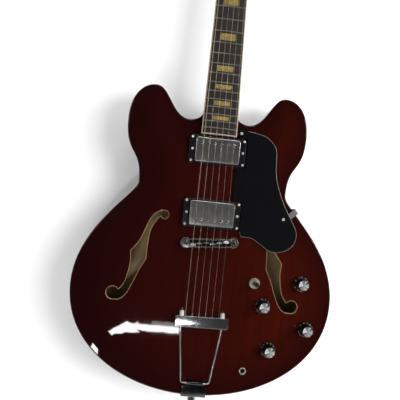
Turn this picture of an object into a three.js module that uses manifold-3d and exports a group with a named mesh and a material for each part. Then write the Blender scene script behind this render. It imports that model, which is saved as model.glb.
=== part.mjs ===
// Semi-hollow electric guitar with an arched, double-cutaway body, two humbuckers,
// a tune-o-matic style bridge and a wire trapeze tailpiece. Millimetres, +Z up the neck.
//
// Most pieces are drawn in the body's frame: x runs to the treble side, y up the neck
// from the bridge, and z forward from the plane of the rim's front edge. Neck pieces
// use the neck's frame, which is tilted back, and headstock pieces the headstock's.

import * as THREE from 'three';
import { mergeVertices } from 'three/addons/utils/BufferGeometryUtils.js';
import Module from 'manifold-3d';

const wasm = await Module();
wasm.setup();

// Fits
const glueGap = 0.2; // a glued joint between two flat faces
const seatGap = 0.3; // between a piece and what it rests on
const runGap = 0.35; // radial, round anything that turns or slides
const cutOver = 6; // how far a cutter runs past what it cuts
const sheetSlack = 0.6; // between the true arch and its flat facets
const weldSize = 0.0005; // points nearer than this are one

// Strings and scale
const scaleLength = 628;
const nutSpread = 35.5;
const bridgeSpread = 51.5;
const stringGauges = [1.17, 0.91, 0.66, 0.43, 0.33, 0.25];
const stringSides = 5;

// Body outline, half of it: widest, narrowest and farthest places
const tailY = -246.5;
const lowerHalfWidth = 208;
const lowerY = -87;
const waistHalfWidth = 118.2;
const waistY = 82;
const joinFret = 19; // where the board leaves the body
const joinMargin = 6.56;
const neckJoinHalf = 27.2;
const neckJoinY = scaleLength * 2 ** (-joinFret / 12) - joinMargin;
const upperHalfWidth = 144.3;
const upperDrop = 22;
const upperY = neckJoinY - upperDrop;
const hornX = 104.5;
const hornReach = 35;
const hornY = neckJoinY + hornReach;
const cutX = 47.5;
const cutDepth = 14;
const cutY = neckJoinY - cutDepth;
const tailHandleShares = [0.55, 0.59];
const hipHandleShares = [0.55, 0.12];
const shoulderHandleShares = [0.55, 0.62];
const hornHandleShares = [0.56, 0.62];
const cutHandleShares = [0.39, 0.51];
const joinHandleShares = [0.5, 0.6];
const outlineSteps = [8, 6, 4, 4, 6, 2];

// Plates, rim and block
const rimDepth = 44.5;
const plateThickness = 4.8;
const archHeight = 12;
const backArchHeight = 11;
const archReach = 72;
const archPower = 1.4;
const rimWall = 4.2;
const liningWidth = 9;
const liningHeight = 12;
const spineLow = -120;
const spineHigh = 60;
const ringShares = [1, 0.9, 0.73, 0.45];
const blockHalfWidth = 50;

// F-holes: shares of the length and the width between the two eyes
const fHoleX = 0.3486 * lowerHalfWidth;
const fHoleY = 34;
const fHoleWidth = 0.327 * lowerHalfWidth;
const fHoleLength = 127;
const fHoleUpperEye = 6.8;
const fHoleLowerEye = 9.4;
const fHoleOuterShares = [
  [0.07, 0.055], [0.24, -0.01], [0.36, -0.13], [0.5, -0.33], [0.69, -0.478],
  [0.685, -0.63], [0.76, -0.81], [0.875, -0.93],
];
const fHoleInnerShares = [
  [0.95, -1.1], [0.76, -1.045], [0.67, -0.985], [0.575, -0.86], [0.45, -0.693],
  [0.325, -0.56], [0.31, -0.33], [0.26, -0.17], [0.09, -0.02],
];

// Neck, heel and headstock
const neckAngle = THREE.MathUtils.degToRad(3.1);
const headAngle = THREE.MathUtils.degToRad(14);
const glueLineHeight = 19.5; // the glue line under the fretboard, carried on down to the bridge
const neckDepthAtNut = 14.5;
const neckDepthAtHeel = 18;
const heelDepth = 49;
const heelLength = 44;
const heelFlat = 18;
const heelPower = 2.2;
const neckSidePower = 0.72;
const neckBackPower = 0.82;
const tenonHalf = 25.5;
const tenonDepth = 40;
const headThickness = 14.5;
const headLength = 176;
const headHalfAtNut = 22;
const headHalfLow = 36;
const headHalfTop = 39;
const headFlareLength = 34;
const headCrown = 9;
const headCorner = 8;
const headBlend = 0.6;
const headBlendLength = 26;

// Fretboard, frets and nut
const boardAtNut = 43;
const boardAtEnd = 56.2;
const boardThickness = 6;
const boardRadius = 305;
const boardOverhang = 10.4;
const fretCount = 22;
const fretHeight = 1;
const fretWidth = 2.3;
const fretRoot = 0.5;
const fretInset = 1.2;
const nutLength = 5;
const nutHeight = 8.4;
const actionAtNut = 0.7;

// Truss rod and its cover
const rodHalf = 2.7;
const rodDepth = 8;
const rodEndMargin = 14;
const coverHalfWide = 12.5;
const coverHalfNarrow = 5;
const coverLength = 40;
const coverThickness = 2;
const coverStart = 4;
const coverShares = [0.5, 0.8, 1.1];

// Tuners
const tunerFirst = 0.25 * headLength;
const tunerSpacing = 0.233 * headLength;
const tunerInset = 11.5;
const tunerPlateThickness = 1.2;
const tunerPlateHalf = 8.5;
const tunerPlateMargin = 12;
const housingLength = 21;
const housingHalfWidth = 7;
const housingHeight = 10;
const housingEdge = 1.6;
const postRadius = 3.1;
const postWaist = 2.6;
const postCollar = 3;
const postHeight = 17;
const postHead = 4.5;
const postFootDepth = 7;
const wrapHeight = 10;
const wrapTurns = 1.5;
const wrapStepsPerTurn = 6;
const wrapTail = 2;
const shaftRadius = 1.8;
const shaftReach = 14;
const buttonLength = 16;
const buttonHalfWidth = 9.5;
const buttonHalfThick = 3.4;
const buttonNeckRadius = 3.2;

// Pickups: cover, poles, rings
const coverWidth = 69.2;
const coverBreadth = 38;
const coverCorner = 3.4;
const coverEdge = 1.4;
const canDepth = 19;
const tabHalf = 42;
const tabBreadth = 10;
const tabThickness = 1.5;
const poleRadius = 2.4;
const poleRise = 0.5;
const poleSpread = 50.5;
const poleOffset = 10;
const ringHalfX = 45.2;
const ringHalfY = 22.6;
const ringCorner = 5;
const ringTaper = 1.2;
const ringEarHalf = 43;
const neckPickupGap = 2.4;
const neckPickupHeight = 18.6;
const neckRingHeight = 16.2;
const bridgePickupY = 41.6;
const bridgePickupHeight = 24.4;
const bridgeRingHeight = 20;
const pickupTravel = 3;

// Bridge, saddles and thumbwheels
const bridgeX = 1.2;
const bridgeY = -3;
const bridgeSlant = THREE.MathUtils.degToRad(4.4);
const postSpacing = 74.2;
const bridgeHalfBreadth = 6.6;
const bridgeBottom = 18.2;
const bridgeTop = 26.2;
const bridgeEndTop = 24.4;
const bridgeEndMargin = 1.4;
const saddleTop = 29.6;
const slotHalfBreadth = 5;
const slotHalfLength = 31.5;
const slotFloor = 20.8;
const saddleHalfX = 4.2;
const saddleHalfY = 2.1;
const saddleShoulder = 27;
const saddleRidge = 0.5;
const saddleScrewRadius = 0.9;
const saddleScrewHeight = 23.4;
const saddleOffsetShares = [-0.8, -0.35, 0.15, -0.5, 0.1, 0.7];
const bridgePostRadius = 1.95;
const wheelRadius = 8.4;
const wheelThickness = 2;
const bridgePostDepth = 26;
const bridgeTravel = 3;

// Trapeze tailpiece
const barY = -124.4;
const barHalfLength = 40.5;
const barHalfBreadth = 8.2;
const barHalfDepth = 5;
const barHeight = 24;
const barEdge = 2;
const stringHoleRadius = 1;
const wireRadius = 2;
const wireTopX = 31.3;
const wireTopReach = 19.4;
const wireTailX = 22;
const wireTailY = -223.5;
const wireTailHeight = 9.2;
const wireCorner = 6;
const barrelRadius = 3.3;
const barrelLength = 7.5;
const hingeHalfWidth = 19.5;
const knuckleHalf = 13;
const hingeThickness = 1.6;
const hingeDrop = 33;

// Strap buttons
const strapHeadRadius = 7;
const strapWaistRadius = 3.6;
const strapBaseRadius = 5.6;
const strapLength = 13;
const strapHeadLength = 3;
const strapShankRadius = 1.7;
const strapShankLength = 13;
const strapDepth = 22;

// Pickguard and bracket: the outline in shares of its width and height
const guardThickness = 2.2;
const guardHeight = 16;
const guardLeft = 31.2;
const guardBottom = -9.5;
const guardWidth = 106;
const guardTopMargin = 18.1;
const guardRingGap = 1;
const guardOuterShares = [
  [0.12, 0.976], [0.365, 0.953], [0.487, 0.916], [0.577, 0.852], [0.598, 0.77],
  [0.615, 0.637], [0.692, 0.5], [0.795, 0.38], [0.95, 0.236], [1, 0.166],
  [0.98, 0.092], [0.885, 0.032], [0.728, 0.002], [0.592, 0.014], [0.44, 0.066],
  [0.323, 0.1], [0.17, 0.104],
];
const guardPillarX = 34.6;
const guardPillarDrop = 10;
const guardPillarRadius = 3;
const bracketY = 59.2;
const bracketHalf = 4.6;
const bracketThickness = 1.3;
const bracketReach = 24;
const bracketDrop = 15;
const bracketStand = 0.6;

// Controls: places in shares of the body's half width and of its reach down to the tail
const knobPlaceShares = [['bass_volume', 0.7356, 0.2231], ['treble_volume', 0.4543, 0.3834],
  ['bass_tone', 0.8005, 0.5128], ['treble_tone', 0.525, 0.658]];
const knobSkirtRadius = 12;
const knobSkirtEdge = 1.6;
const knobShoulder = 7.5;
const knobBodyRadius = 8.6;
const knobHeight = 16.2;
const knobCapRadius = 7.7;
const knobCapInset = 0.5;
const knobGap = 1.2;
const shaftOfPot = 3;
const potRadius = 12;
const potDepth = 9;
const potBushing = 4.7;
const potSeat = 7;
const toggleX = 0.3769 * lowerHalfWidth;
const toggleY = 0.2442 * tailY;
const toggleNutRadius = 8.7;
const toggleNutHeight = 3.4;
const toggleBushing = 5.8;
const toggleBore = 3.3;
const toggleBoreDepth = 9;
const toggleHalfX = 7;
const toggleHalfY = 11;
const toggleDepth = 24;
const leverRadius = 1.7;
const leverTip = 3.8;
const leverTipLength = 9;
const leverLength = 13;
const leverFoot = 4;
const leverPivotDrop = 1.5;
const leverTilt = THREE.MathUtils.degToRad(13);
const leverThrow = THREE.MathUtils.degToRad(-22);
const jackX = 0.3529 * lowerHalfWidth;
const jackY = 0.8093 * tailY;
const jackNutRadius = 5.8;
const jackNutHeight = 2.2;
const jackBore = 3.3;
const jackBushing = 4.7;
const jackBodyRadius = 6.5;
const jackDepth = 24;

// Basic solids

function solid(geometry) {
  const plain = geometry.clone();
  for (const name of Object.keys(plain.attributes)) {
    if (name !== 'position') plain.deleteAttribute(name);
  }
  const merged = mergeVertices(plain, weldSize);
  const position = merged.attributes.position;
  const corners = merged.index.array;
  const kept = [];
  let volume = 0;
  const [a, b, c] = [new THREE.Vector3(), new THREE.Vector3(), new THREE.Vector3()];
  for (let i = 0; i < corners.length; i += 3) {
    const [p, q, r] = [corners[i], corners[i + 1], corners[i + 2]];
    if (p === q || q === r || r === p) continue;
    kept.push([p, q, r]);
    a.fromBufferAttribute(position, p);
    b.fromBufferAttribute(position, q);
    c.fromBufferAttribute(position, r);
    volume += a.dot(b.cross(c));
  }
  const triVerts = new Uint32Array(kept.flatMap(([p, q, r]) => (volume < 0 ? [r, q, p] : [p, q, r])));
  const vertProperties = new Float32Array(position.array);
  return new wasm.Manifold(new wasm.Mesh({ numProp: 3, vertProperties, triVerts }));
}

function geometryOf(body) {
  const { vertProperties, triVerts } = body.getMesh();
  const geometry = new THREE.BufferGeometry();
  geometry.setAttribute('position', new THREE.BufferAttribute(vertProperties, 3));
  geometry.setIndex(new THREE.BufferAttribute(triVerts, 1));
  geometry.computeVertexNormals();
  return geometry;
}

function box(x0, x1, y0, y1, z0, z1) {
  const geometry = new THREE.BoxGeometry(x1 - x0, y1 - y0, z1 - z0);
  return geometry.translate((x0 + x1) / 2, (y0 + y1) / 2, (z0 + z1) / 2);
}

// A revolved piece about its own z axis, from [radius, z] pairs
function turned(profile, sides) {
  const points = profile.map(([radius, z]) => new THREE.Vector2(radius, z));
  return new THREE.LatheGeometry(points, sides).rotateX(Math.PI / 2);
}

function rod(radius, z0, z1, sides, x = 0, y = 0) {
  return turned([[0, z0], [radius, z0], [radius, z1], [0, z1]], sides).translate(x, y, 0);
}

function prism(shape, z0, z1, curveSegments = 6) {
  const settings = { depth: z1 - z0, bevelEnabled: false, curveSegments };
  return new THREE.ExtrudeGeometry(shape, settings).translate(0, 0, z0);
}

// A block with rounded corners and a softened front edge
function softBlock(halfX, halfY, z0, z1, corner, edge, curveSegments = 2) {
  const shape = roundedRectangle(halfX - edge, halfY - edge, Math.max(corner - edge, edge));
  const settings = {
    depth: z1 - z0 - edge, bevelEnabled: true, bevelSize: edge, bevelThickness: edge,
    bevelSegments: 1, curveSegments,
  };
  const body = solid(new THREE.ExtrudeGeometry(shape, settings).translate(0, 0, z0));
  return body.subtract(solid(box(-halfX * 2, halfX * 2, -halfY * 2, halfY * 2, z0 - edge * 2, z0)));
}

function roundedRectangle(halfX, halfY, corner) {
  const shape = new THREE.Shape();
  shape.moveTo(halfX - corner, -halfY);
  shape.absarc(halfX - corner, -halfY + corner, corner, -Math.PI / 2, 0);
  shape.absarc(halfX - corner, halfY - corner, corner, 0, Math.PI / 2);
  shape.absarc(-halfX + corner, halfY - corner, corner, Math.PI / 2, Math.PI);
  shape.absarc(-halfX + corner, -halfY + corner, corner, Math.PI, Math.PI * 1.5);
  return shape;
}

// A closed skin over rings of points, all with the same count; the ends are fans
function loft(rings) {
  const count = rings[0].length;
  const positions = rings.flat().flatMap((point) => [point.x, point.y, point.z]);
  const index = [];
  for (let ring = 0; ring + 1 < rings.length; ring += 1) {
    for (let i = 0; i < count; i += 1) {
      const next = (i + 1) % count;
      const [a, b] = [ring * count + i, ring * count + next];
      index.push(a, b, b + count, a, b + count, a + count);
    }
  }
  const last = (rings.length - 1) * count;
  for (let i = 1; i + 1 < count; i += 1) {
    index.push(0, i + 1, i, last, last + i, last + i + 1);
  }
  const geometry = new THREE.BufferGeometry();
  geometry.setAttribute('position', new THREE.Float32BufferAttribute(positions, 3));
  geometry.setIndex(index);
  return geometry;
}

// A path that a tube follows with one ring at each of its points
class Route extends THREE.Curve {
  constructor(points) {
    super();
    this.points = points;
  }

  getPoint(share) {
    const place = share * (this.points.length - 1);
    const first = Math.min(Math.floor(place + 1e-9), this.points.length - 2);
    return this.points[first].clone().lerp(this.points[first + 1], place - first);
  }

  getPointAt(share) {
    return this.getPoint(share);
  }

  getTangentAt(share) {
    const last = this.points.length - 1;
    const at = Math.round(share * last);
    const here = this.points[at];
    const before = here.clone().sub(this.points[Math.max(at - 1, 0)]).normalize();
    const after = this.points[Math.min(at + 1, last)].clone().sub(here).normalize();
    return before.add(after).normalize();
  }
}

function tube(points, radius, sides) {
  const section = new THREE.Shape();
  for (let i = 0; i < sides; i += 1) {
    const angle = (i / sides) * Math.PI * 2;
    const [x, y] = [radius * Math.cos(angle), radius * Math.sin(angle)];
    if (i === 0) section.moveTo(x, y);
    else section.lineTo(x, y);
  }
  const extrudePath = new Route(points);
  const settings = { steps: points.length - 1, extrudePath, bevelEnabled: false };
  return new THREE.ExtrudeGeometry(section, settings);
}

function outlineShape(points) {
  return new THREE.Shape(points.map(([x, y]) => new THREE.Vector2(x, y)));
}

// The body's outline and its arch

function bezier(start, startHandle, endHandle, end, count) {
  const curve = new THREE.CubicBezierCurve(start, startHandle, endHandle, end);
  return curve.getPoints(count).slice(0, count);
}

function halfOutline() {
  const at = (x, y) => new THREE.Vector2(x, y);
  const tail = at(0, tailY);
  const lower = at(lowerHalfWidth, lowerY);
  const waist = at(waistHalfWidth, waistY);
  const upper = at(upperHalfWidth, upperY);
  const horn = at(hornX, hornY);
  const cut = at(cutX, cutY);
  const join = at(neckJoinHalf, neckJoinY);
  const upward = (point, share, span) => at(point.x, point.y + share * span);
  const across = (point, share, span) => at(point.x + share * span, point.y);
  return [
    ...bezier(tail, across(tail, tailHandleShares[0], lower.x),
      upward(lower, -tailHandleShares[1], lower.y - tail.y), lower, outlineSteps[0]),
    ...bezier(lower, upward(lower, hipHandleShares[0], waist.y - lower.y),
      upward(waist, -hipHandleShares[1], waist.y - lower.y), waist, outlineSteps[1]),
    ...bezier(waist, upward(waist, shoulderHandleShares[0], upper.y - waist.y),
      upward(upper, -shoulderHandleShares[1], upper.y - waist.y), upper, outlineSteps[2]),
    ...bezier(upper, upward(upper, hornHandleShares[0], horn.y - upper.y),
      across(horn, hornHandleShares[1], upper.x - horn.x), horn, outlineSteps[3]),
    ...bezier(horn, across(horn, -cutHandleShares[0], horn.x - cut.x),
      across(cut, cutHandleShares[1], horn.x - cut.x), cut, outlineSteps[4]),
    ...bezier(cut, across(cut, -joinHandleShares[0], cut.x - join.x),
      upward(join, -joinHandleShares[1], join.y - cut.y), join, outlineSteps[5]),
    join,
  ];
}

function fullOutline() {
  const right = halfOutline();
  const left = right.slice(1).reverse().map((point) => new THREE.Vector2(-point.x, point.y));
  return [...right, ...left];
}

const outline = fullOutline();

function distanceToOutline(x, y) {
  let best = Infinity;
  for (let i = 0; i < outline.length; i += 1) {
    const a = outline[i];
    const b = outline[(i + 1) % outline.length];
    const along = b.clone().sub(a);
    const share = THREE.MathUtils.clamp(((x - a.x) * along.x + (y - a.y) * along.y) / along.lengthSq(), 0, 1);
    best = Math.min(best, Math.hypot(x - a.x - along.x * share, y - a.y - along.y * share));
  }
  return best;
}

// A pressed arch: it leaves the edge flat, climbs and levels off over the block
function archShare(x, y) {
  const reach = Math.min(distanceToOutline(x, y) / archReach, 1);
  return Math.sin(reach * Math.PI / 2) ** archPower;
}

function topHeight(x, y) {
  return archHeight * archShare(x, y);
}

function backHeight(x, y) {
  return -rimDepth - backArchHeight * archShare(x, y);
}

// The outline drawn in towards a spine down the middle
function drawnIn(share) {
  return outline.map((point) => {
    const onSpine = THREE.MathUtils.clamp(point.y, spineLow, spineHigh);
    return new THREE.Vector2(point.x * share, THREE.MathUtils.lerp(onSpine, point.y, share));
  });
}

// The solid between two sheets over the whole outline
function betweenSheets(upperSheet, lowerSheet) {
  const count = outline.length;
  const rings = ringShares.map(drawnIn);
  const positions = [];
  const index = [];
  [upperSheet, lowerSheet].forEach((sheet, side) => {
    const start = positions.length / 3;
    rings.flat().forEach((point) => positions.push(point.x, point.y, sheet(point.x, point.y)));
    positions.push(0, spineHigh, sheet(0, spineHigh));
    const centre = start + rings.length * count;
    const face = (a, b, c) => index.push(...(side === 0 ? [a, b, c] : [c, b, a]));
    for (let i = 0; i < count; i += 1) {
      const next = (i + 1) % count;
      for (let ring = 0; ring + 1 < rings.length; ring += 1) {
        const [a, b] = [start + ring * count + i, start + ring * count + next];
        face(a, b, b + count);
        face(a, b + count, a + count);
      }
      const inner = start + (rings.length - 1) * count;
      face(inner + i, inner + next, centre);
    }
  });
  const lower = rings.length * count + 1;
  for (let i = 0; i < count; i += 1) {
    const next = (i + 1) % count;
    index.push(i, lower + i, lower + next, i, lower + next, next);
  }
  const geometry = new THREE.BufferGeometry();
  geometry.setAttribute('position', new THREE.Float32BufferAttribute(positions, 3));
  geometry.setIndex(index);
  return solid(geometry);
}

// The outline moved inwards by a given amount, straight down beside the neck
function insetOutline(amount) {
  return outline.map((point, i) => {
    if (Math.abs(point.x) <= cutX && point.y >= cutY) return new THREE.Vector2(point.x, point.y - amount);
    const before = outline[(i + outline.length - 1) % outline.length];
    const after = outline[(i + 1) % outline.length];
    const along = after.clone().sub(before).normalize();
    return new THREE.Vector2(point.x - along.y * amount, point.y + along.x * amount);
  });
}

// A place on the treble edge near a height, with the outward direction there
function edgeAt(y) {
  const i = outline.findIndex((point, at) => point.y <= y && outline[at + 1].y > y);
  const [a, b] = [outline[i], outline[i + 1]];
  const place = a.clone().lerp(b, (y - a.y) / (b.y - a.y));
  return { place, turn: Math.atan2(a.x - b.x, b.y - a.y) };
}

// All the room below the top's outer face and a gap, for cutting what rests on the arch
function belowTop(gap) {
  return betweenSheets((x, y) => topHeight(x, y) + gap, () => -rimDepth);
}

// Frames of the neck and the headstock

const neckFrame = new THREE.Object3D();
neckFrame.position.set(0, 0, glueLineHeight);
neckFrame.rotation.x = -neckAngle;
neckFrame.updateMatrix();

const headFrame = new THREE.Object3D();
headFrame.position.set(0, scaleLength + nutLength, 0);
headFrame.rotation.x = -headAngle;
headFrame.updateMatrix();

const inNeck = neckFrame.matrix;
const inHead = inNeck.clone().multiply(headFrame.matrix);

function neckPoint(x, y, z) {
  return new THREE.Vector3(x, y, z).applyMatrix4(inNeck);
}

function headPoint(x, y, z) {
  return new THREE.Vector3(x, y, z).applyMatrix4(inHead);
}

function fretY(number) {
  return scaleLength * 2 ** (-number / 12);
}

const boardEnd = fretY(fretCount) - boardOverhang;
const neckPickupY = boardEnd - neckPickupGap - ringHalfY;
const guardTop = neckPickupY + ringHalfY + guardTopMargin;

function boardHalfAt(y) {
  const share = (scaleLength - y) / (scaleLength - boardEnd);
  return THREE.MathUtils.lerp(boardAtNut, boardAtEnd, share) / 2;
}

function crownAt(x) {
  return Math.sqrt(boardRadius ** 2 - x ** 2) - boardRadius;
}

// Where the strings cross the nut and the bridge, in the body's frame
const stringX = (spread, string) => spread * (string / 5 - 0.5);
const stringRadii = stringGauges.map((gauge) => gauge / 2);

// Body

function fHoleCutters(side) {
  const place = ([x, y]) => [side * (fHoleX + x * fHoleWidth), fHoleY + y * fHoleLength];
  const slot = outlineShape([...fHoleOuterShares, ...fHoleInnerShares].map(place));
  const low = -plateThickness - cutOver;
  const high = archHeight + cutOver;
  const lowerEye = place([1, -1]);
  return solid(prism(slot, low, high))
    .add(solid(rod(fHoleUpperEye, low, high, 12, side * fHoleX, fHoleY)))
    .add(solid(rod(fHoleLowerEye, low, high, 14, lowerEye[0], lowerEye[1])));
}

function pickupPocket(y, depth) {
  const halfX = coverWidth / 2 + 1.5 * runGap;
  const halfY = coverBreadth / 2 + 1.5 * runGap;
  const earY = tabBreadth / 2 + runGap;
  const high = archHeight + cutOver;
  return solid(box(-halfX, halfX, y - halfY, y + halfY, depth, high))
    .add(solid(box(-ringEarHalf, ringEarHalf, y - earY, y + earY, depth, high)));
}

function knobPlaces() {
  return knobPlaceShares.map(([name, x, y]) => [name, x * lowerHalfWidth, y * tailY]);
}

function bridgePostPlaces() {
  const halfX = Math.cos(bridgeSlant) * postSpacing / 2;
  const halfY = Math.sin(bridgeSlant) * postSpacing / 2;
  return [[bridgeX - halfX, bridgeY - halfY], [bridgeX + halfX, bridgeY + halfY]];
}

const pocketFloor = archHeight - canDepth - pickupTravel - 4 * seatGap;
const postHoleFloor = bridgeTop - bridgePostDepth - bridgeTravel - 12 * seatGap;
const tenonPocket = solid(box(
  -tenonHalf - seatGap, tenonHalf + seatGap, boardEnd - glueGap, scaleLength,
  -tenonDepth - seatGap, glueLineHeight).applyMatrix4(inNeck));

function cutForFittings(body) {
  let result = body.subtract(tenonPocket);
  for (const y of [neckPickupY, bridgePickupY]) {
    result = result.subtract(pickupPocket(y, pocketFloor));
  }
  for (const [x, y] of bridgePostPlaces()) {
    const hole = rod(bridgePostRadius + runGap, postHoleFloor, archHeight + cutOver, 8, x, y);
    result = result.subtract(solid(hole));
  }
  return result;
}

function bodyTop() {
  const sheet = (x, y) => topHeight(x, y) - plateThickness;
  let top = betweenSheets(topHeight, sheet);
  top = cutForFittings(top).subtract(fHoleCutters(1)).subtract(fHoleCutters(-1));
  const high = archHeight + cutOver;
  const low = -plateThickness - cutOver;
  for (const [, x, y] of knobPlaces()) {
    top = top.subtract(solid(rod(potBushing + seatGap, low, high, 8, x, y)));
  }
  top = top.subtract(solid(rod(toggleBushing + seatGap, low, high, 10, toggleX, toggleY)));
  return top.subtract(solid(rod(jackBushing + seatGap, low, high, 10, jackX, jackY)));
}

function bodyBack() {
  return betweenSheets((x, y) => backHeight(x, y) + plateThickness, backHeight);
}

function tailScrewHole() {
  const hole = rod(strapShankRadius + seatGap, 0, strapShankLength + cutOver, 10);
  hole.rotateX(-Math.PI / 2).translate(0, tailY - cutOver / 2, -strapDepth);
  return solid(hole);
}

// Bent sides with a strip of lining glued along each edge
function bodyRim() {
  const high = -plateThickness - glueGap;
  const low = -rimDepth + plateThickness + glueGap;
  const section = [
    [0, high], [liningWidth, high], [rimWall, high - liningHeight],
    [rimWall, low + liningHeight], [liningWidth, low], [0, low],
  ];
  const loops = section.map(([inset, z]) => insetOutline(inset).map((point) => [point.x, point.y, z]));
  const count = outline.length;
  const index = [];
  loops.forEach((loop, strip) => {
    const next = (strip + 1) % loops.length;
    for (let i = 0; i < count; i += 1) {
      const j = (i + 1) % count;
      const [a, b, c, d] = [strip * count + i, strip * count + j, next * count + j, next * count + i];
      index.push(a, b, c, a, c, d);
    }
  });
  const geometry = new THREE.BufferGeometry();
  geometry.setAttribute('position', new THREE.Float32BufferAttribute(loops.flat(2), 3));
  geometry.setIndex(index);
  return solid(geometry).subtract(tenonPocket).subtract(tailScrewHole());
}

// The maple block down the middle, shaped to the arch of both plates
function centreBlock() {
  const inner = betweenSheets(
    (x, y) => topHeight(x, y) - plateThickness - glueGap,
    (x, y) => backHeight(x, y) + plateThickness + glueGap);
  const inset = new THREE.Shape(insetOutline(liningWidth + glueGap));
  const block = solid(box(-blockHalfWidth, blockHalfWidth, tailY, neckJoinY, backHeight(0, 0), archHeight));
  const fitted = block.intersect(inner).intersect(solid(prism(inset, backHeight(0, 0), archHeight)));
  return cutForFittings(fitted).subtract(tailScrewHole());
}

// Neck

const heelButtonY = neckJoinY + heelFlat / 2;

function neckRing(y, halfWidth, depth, drop) {
  const points = [];
  const steps = 9;
  for (let i = 0; i <= steps; i += 1) {
    const angle = Math.PI * (i / steps);
    const side = Math.sign(Math.cos(angle)) * Math.abs(Math.cos(angle)) ** neckSidePower;
    points.push(neckPoint(side * halfWidth, y, -drop - depth * Math.sin(angle) ** neckBackPower));
  }
  return points;
}

function neckDepthAt(y) {
  const plain = THREE.MathUtils.mapLinear(y, scaleLength, neckJoinY, neckDepthAtNut, neckDepthAtHeel);
  const heelShare = THREE.MathUtils.clamp((neckJoinY + heelLength - y) / (heelLength - heelFlat), 0, 1);
  return THREE.MathUtils.lerp(plain, heelDepth, heelShare ** heelPower);
}

function neckLoft() {
  const heelShares = [0, 0.12, 0.26, 0.44, 0.68, 1];
  const heelPlaces = heelShares.map((share) => THREE.MathUtils.lerp(neckJoinY + heelFlat,
    neckJoinY + heelLength, share));
  const rings = [neckJoinY - heelFlat, ...heelPlaces].map((y) => {
    return neckRing(y, boardHalfAt(y), neckDepthAt(y), 0);
  });
  for (const fret of [12, 7, 3]) {
    rings.push(neckRing(fretY(fret), boardHalfAt(fretY(fret)), neckDepthAt(fretY(fret)), 0));
  }
  rings.push(neckRing(scaleLength, boardAtNut / 2, neckDepthAtNut, 0));
  rings.push(neckRing(scaleLength + nutLength, headHalfAtNut, neckDepthAtNut, 0));
  const blendDrop = headBlendLength * Math.tan(headAngle);
  rings.push(neckRing(scaleLength + nutLength + headBlendLength, headHalfAtNut + blendDrop / 2,
    headThickness / Math.cos(headAngle) - headBlend, blendDrop + headBlend));
  return solid(loft(rings));
}

function headOutline() {
  const shape = new THREE.Shape();
  shape.moveTo(-headHalfAtNut, 0);
  shape.lineTo(headHalfAtNut, 0);
  shape.bezierCurveTo(headHalfAtNut, headFlareLength / 2, headHalfLow, headFlareLength / 2,
    headHalfLow, headFlareLength);
  const crownY = headLength - headCrown;
  shape.lineTo(headHalfTop, crownY - headCorner);
  shape.quadraticCurveTo(headHalfTop, crownY, headHalfTop - headCorner, crownY);
  shape.quadraticCurveTo(headHalfAtNut, crownY, 0, headLength);
  shape.quadraticCurveTo(-headHalfAtNut, crownY, -headHalfTop + headCorner, crownY);
  shape.quadraticCurveTo(-headHalfTop, crownY, -headHalfTop, crownY - headCorner);
  shape.lineTo(-headHalfLow, headFlareLength);
  shape.bezierCurveTo(-headHalfLow, headFlareLength / 2, -headHalfAtNut, headFlareLength / 2,
    -headHalfAtNut, 0);
  return shape;
}

// One entry per string: its side, its place on the headstock and its name
function tunerPlaces() {
  return stringGauges.map((gauge, string) => {
    const side = string < 3 ? -1 : 1;
    const rank = string < 3 ? string : 5 - string;
    const y = tunerFirst + rank * tunerSpacing;
    const edge = THREE.MathUtils.mapLinear(y, headFlareLength, headLength - headCrown - headCorner,
      headHalfLow, headHalfTop);
    return { side, x: side * (headHalfLow - tunerInset), y, edge };
  });
}

function neckBody() {
  const behindJoin = box(-lowerHalfWidth, lowerHalfWidth, 0, neckJoinY + seatGap, -2 * rimDepth, rimDepth);
  const tenon = box(-tenonHalf, tenonHalf, boardEnd + glueGap, neckJoinY + heelLength / 4,
    -tenonDepth, 0).applyMatrix4(inNeck);
  const head = prism(headOutline(), -headThickness, 0, 4).applyMatrix4(inHead);
  let neck = neckLoft().subtract(solid(behindJoin)).add(solid(tenon)).add(solid(head));
  for (const { x, y } of tunerPlaces()) {
    const hole = rod(postRadius + runGap, -headThickness - cutOver, cutOver, 8, x, y);
    neck = neck.subtract(solid(hole.applyMatrix4(inHead)));
  }
  const channelHalf = rodHalf + seatGap;
  const channelEnd = scaleLength + nutLength + coverLength / 2;
  const channel = box(-channelHalf, channelHalf, boardEnd + rodEndMargin, channelEnd,
    -rodDepth - 2 * seatGap, cutOver).applyMatrix4(inNeck);
  const heelHole = rod(strapShankRadius + seatGap, -strapShankLength, heelDepth, 8);
  heelHole.rotateX(Math.PI).translate(0, heelButtonY, -heelDepth);
  return neck.subtract(solid(channel)).subtract(solid(heelHole.applyMatrix4(inNeck)));
}

function trussRod() {
  const end = scaleLength + nutLength + coverLength / 2 - seatGap;
  const bar = box(-rodHalf, rodHalf, boardEnd + rodEndMargin + seatGap, end, -rodDepth - seatGap, -seatGap);
  return solid(bar.applyMatrix4(inNeck)).subtract(solid(rodRelief().applyMatrix4(inHead)));
}

// Clears the rod's end from the cover, where the headstock falls away
function rodRelief() {
  return box(-headHalfLow, headHalfLow, -nutLength, coverLength * 2, -seatGap, rimDepth);
}

function trussRodCover() {
  const shape = new THREE.Shape();
  const [middle, narrow, tip] = coverShares.map((share) => coverStart + share * coverLength);
  shape.moveTo(-coverHalfWide, coverStart);
  shape.lineTo(coverHalfWide, coverStart);
  shape.quadraticCurveTo(coverHalfWide, middle, coverHalfNarrow, narrow);
  shape.quadraticCurveTo(0, tip, -coverHalfNarrow, narrow);
  shape.quadraticCurveTo(-coverHalfWide, middle, -coverHalfWide, coverStart);
  return solid(prism(shape, seatGap, seatGap + coverThickness, 4));
}

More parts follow.
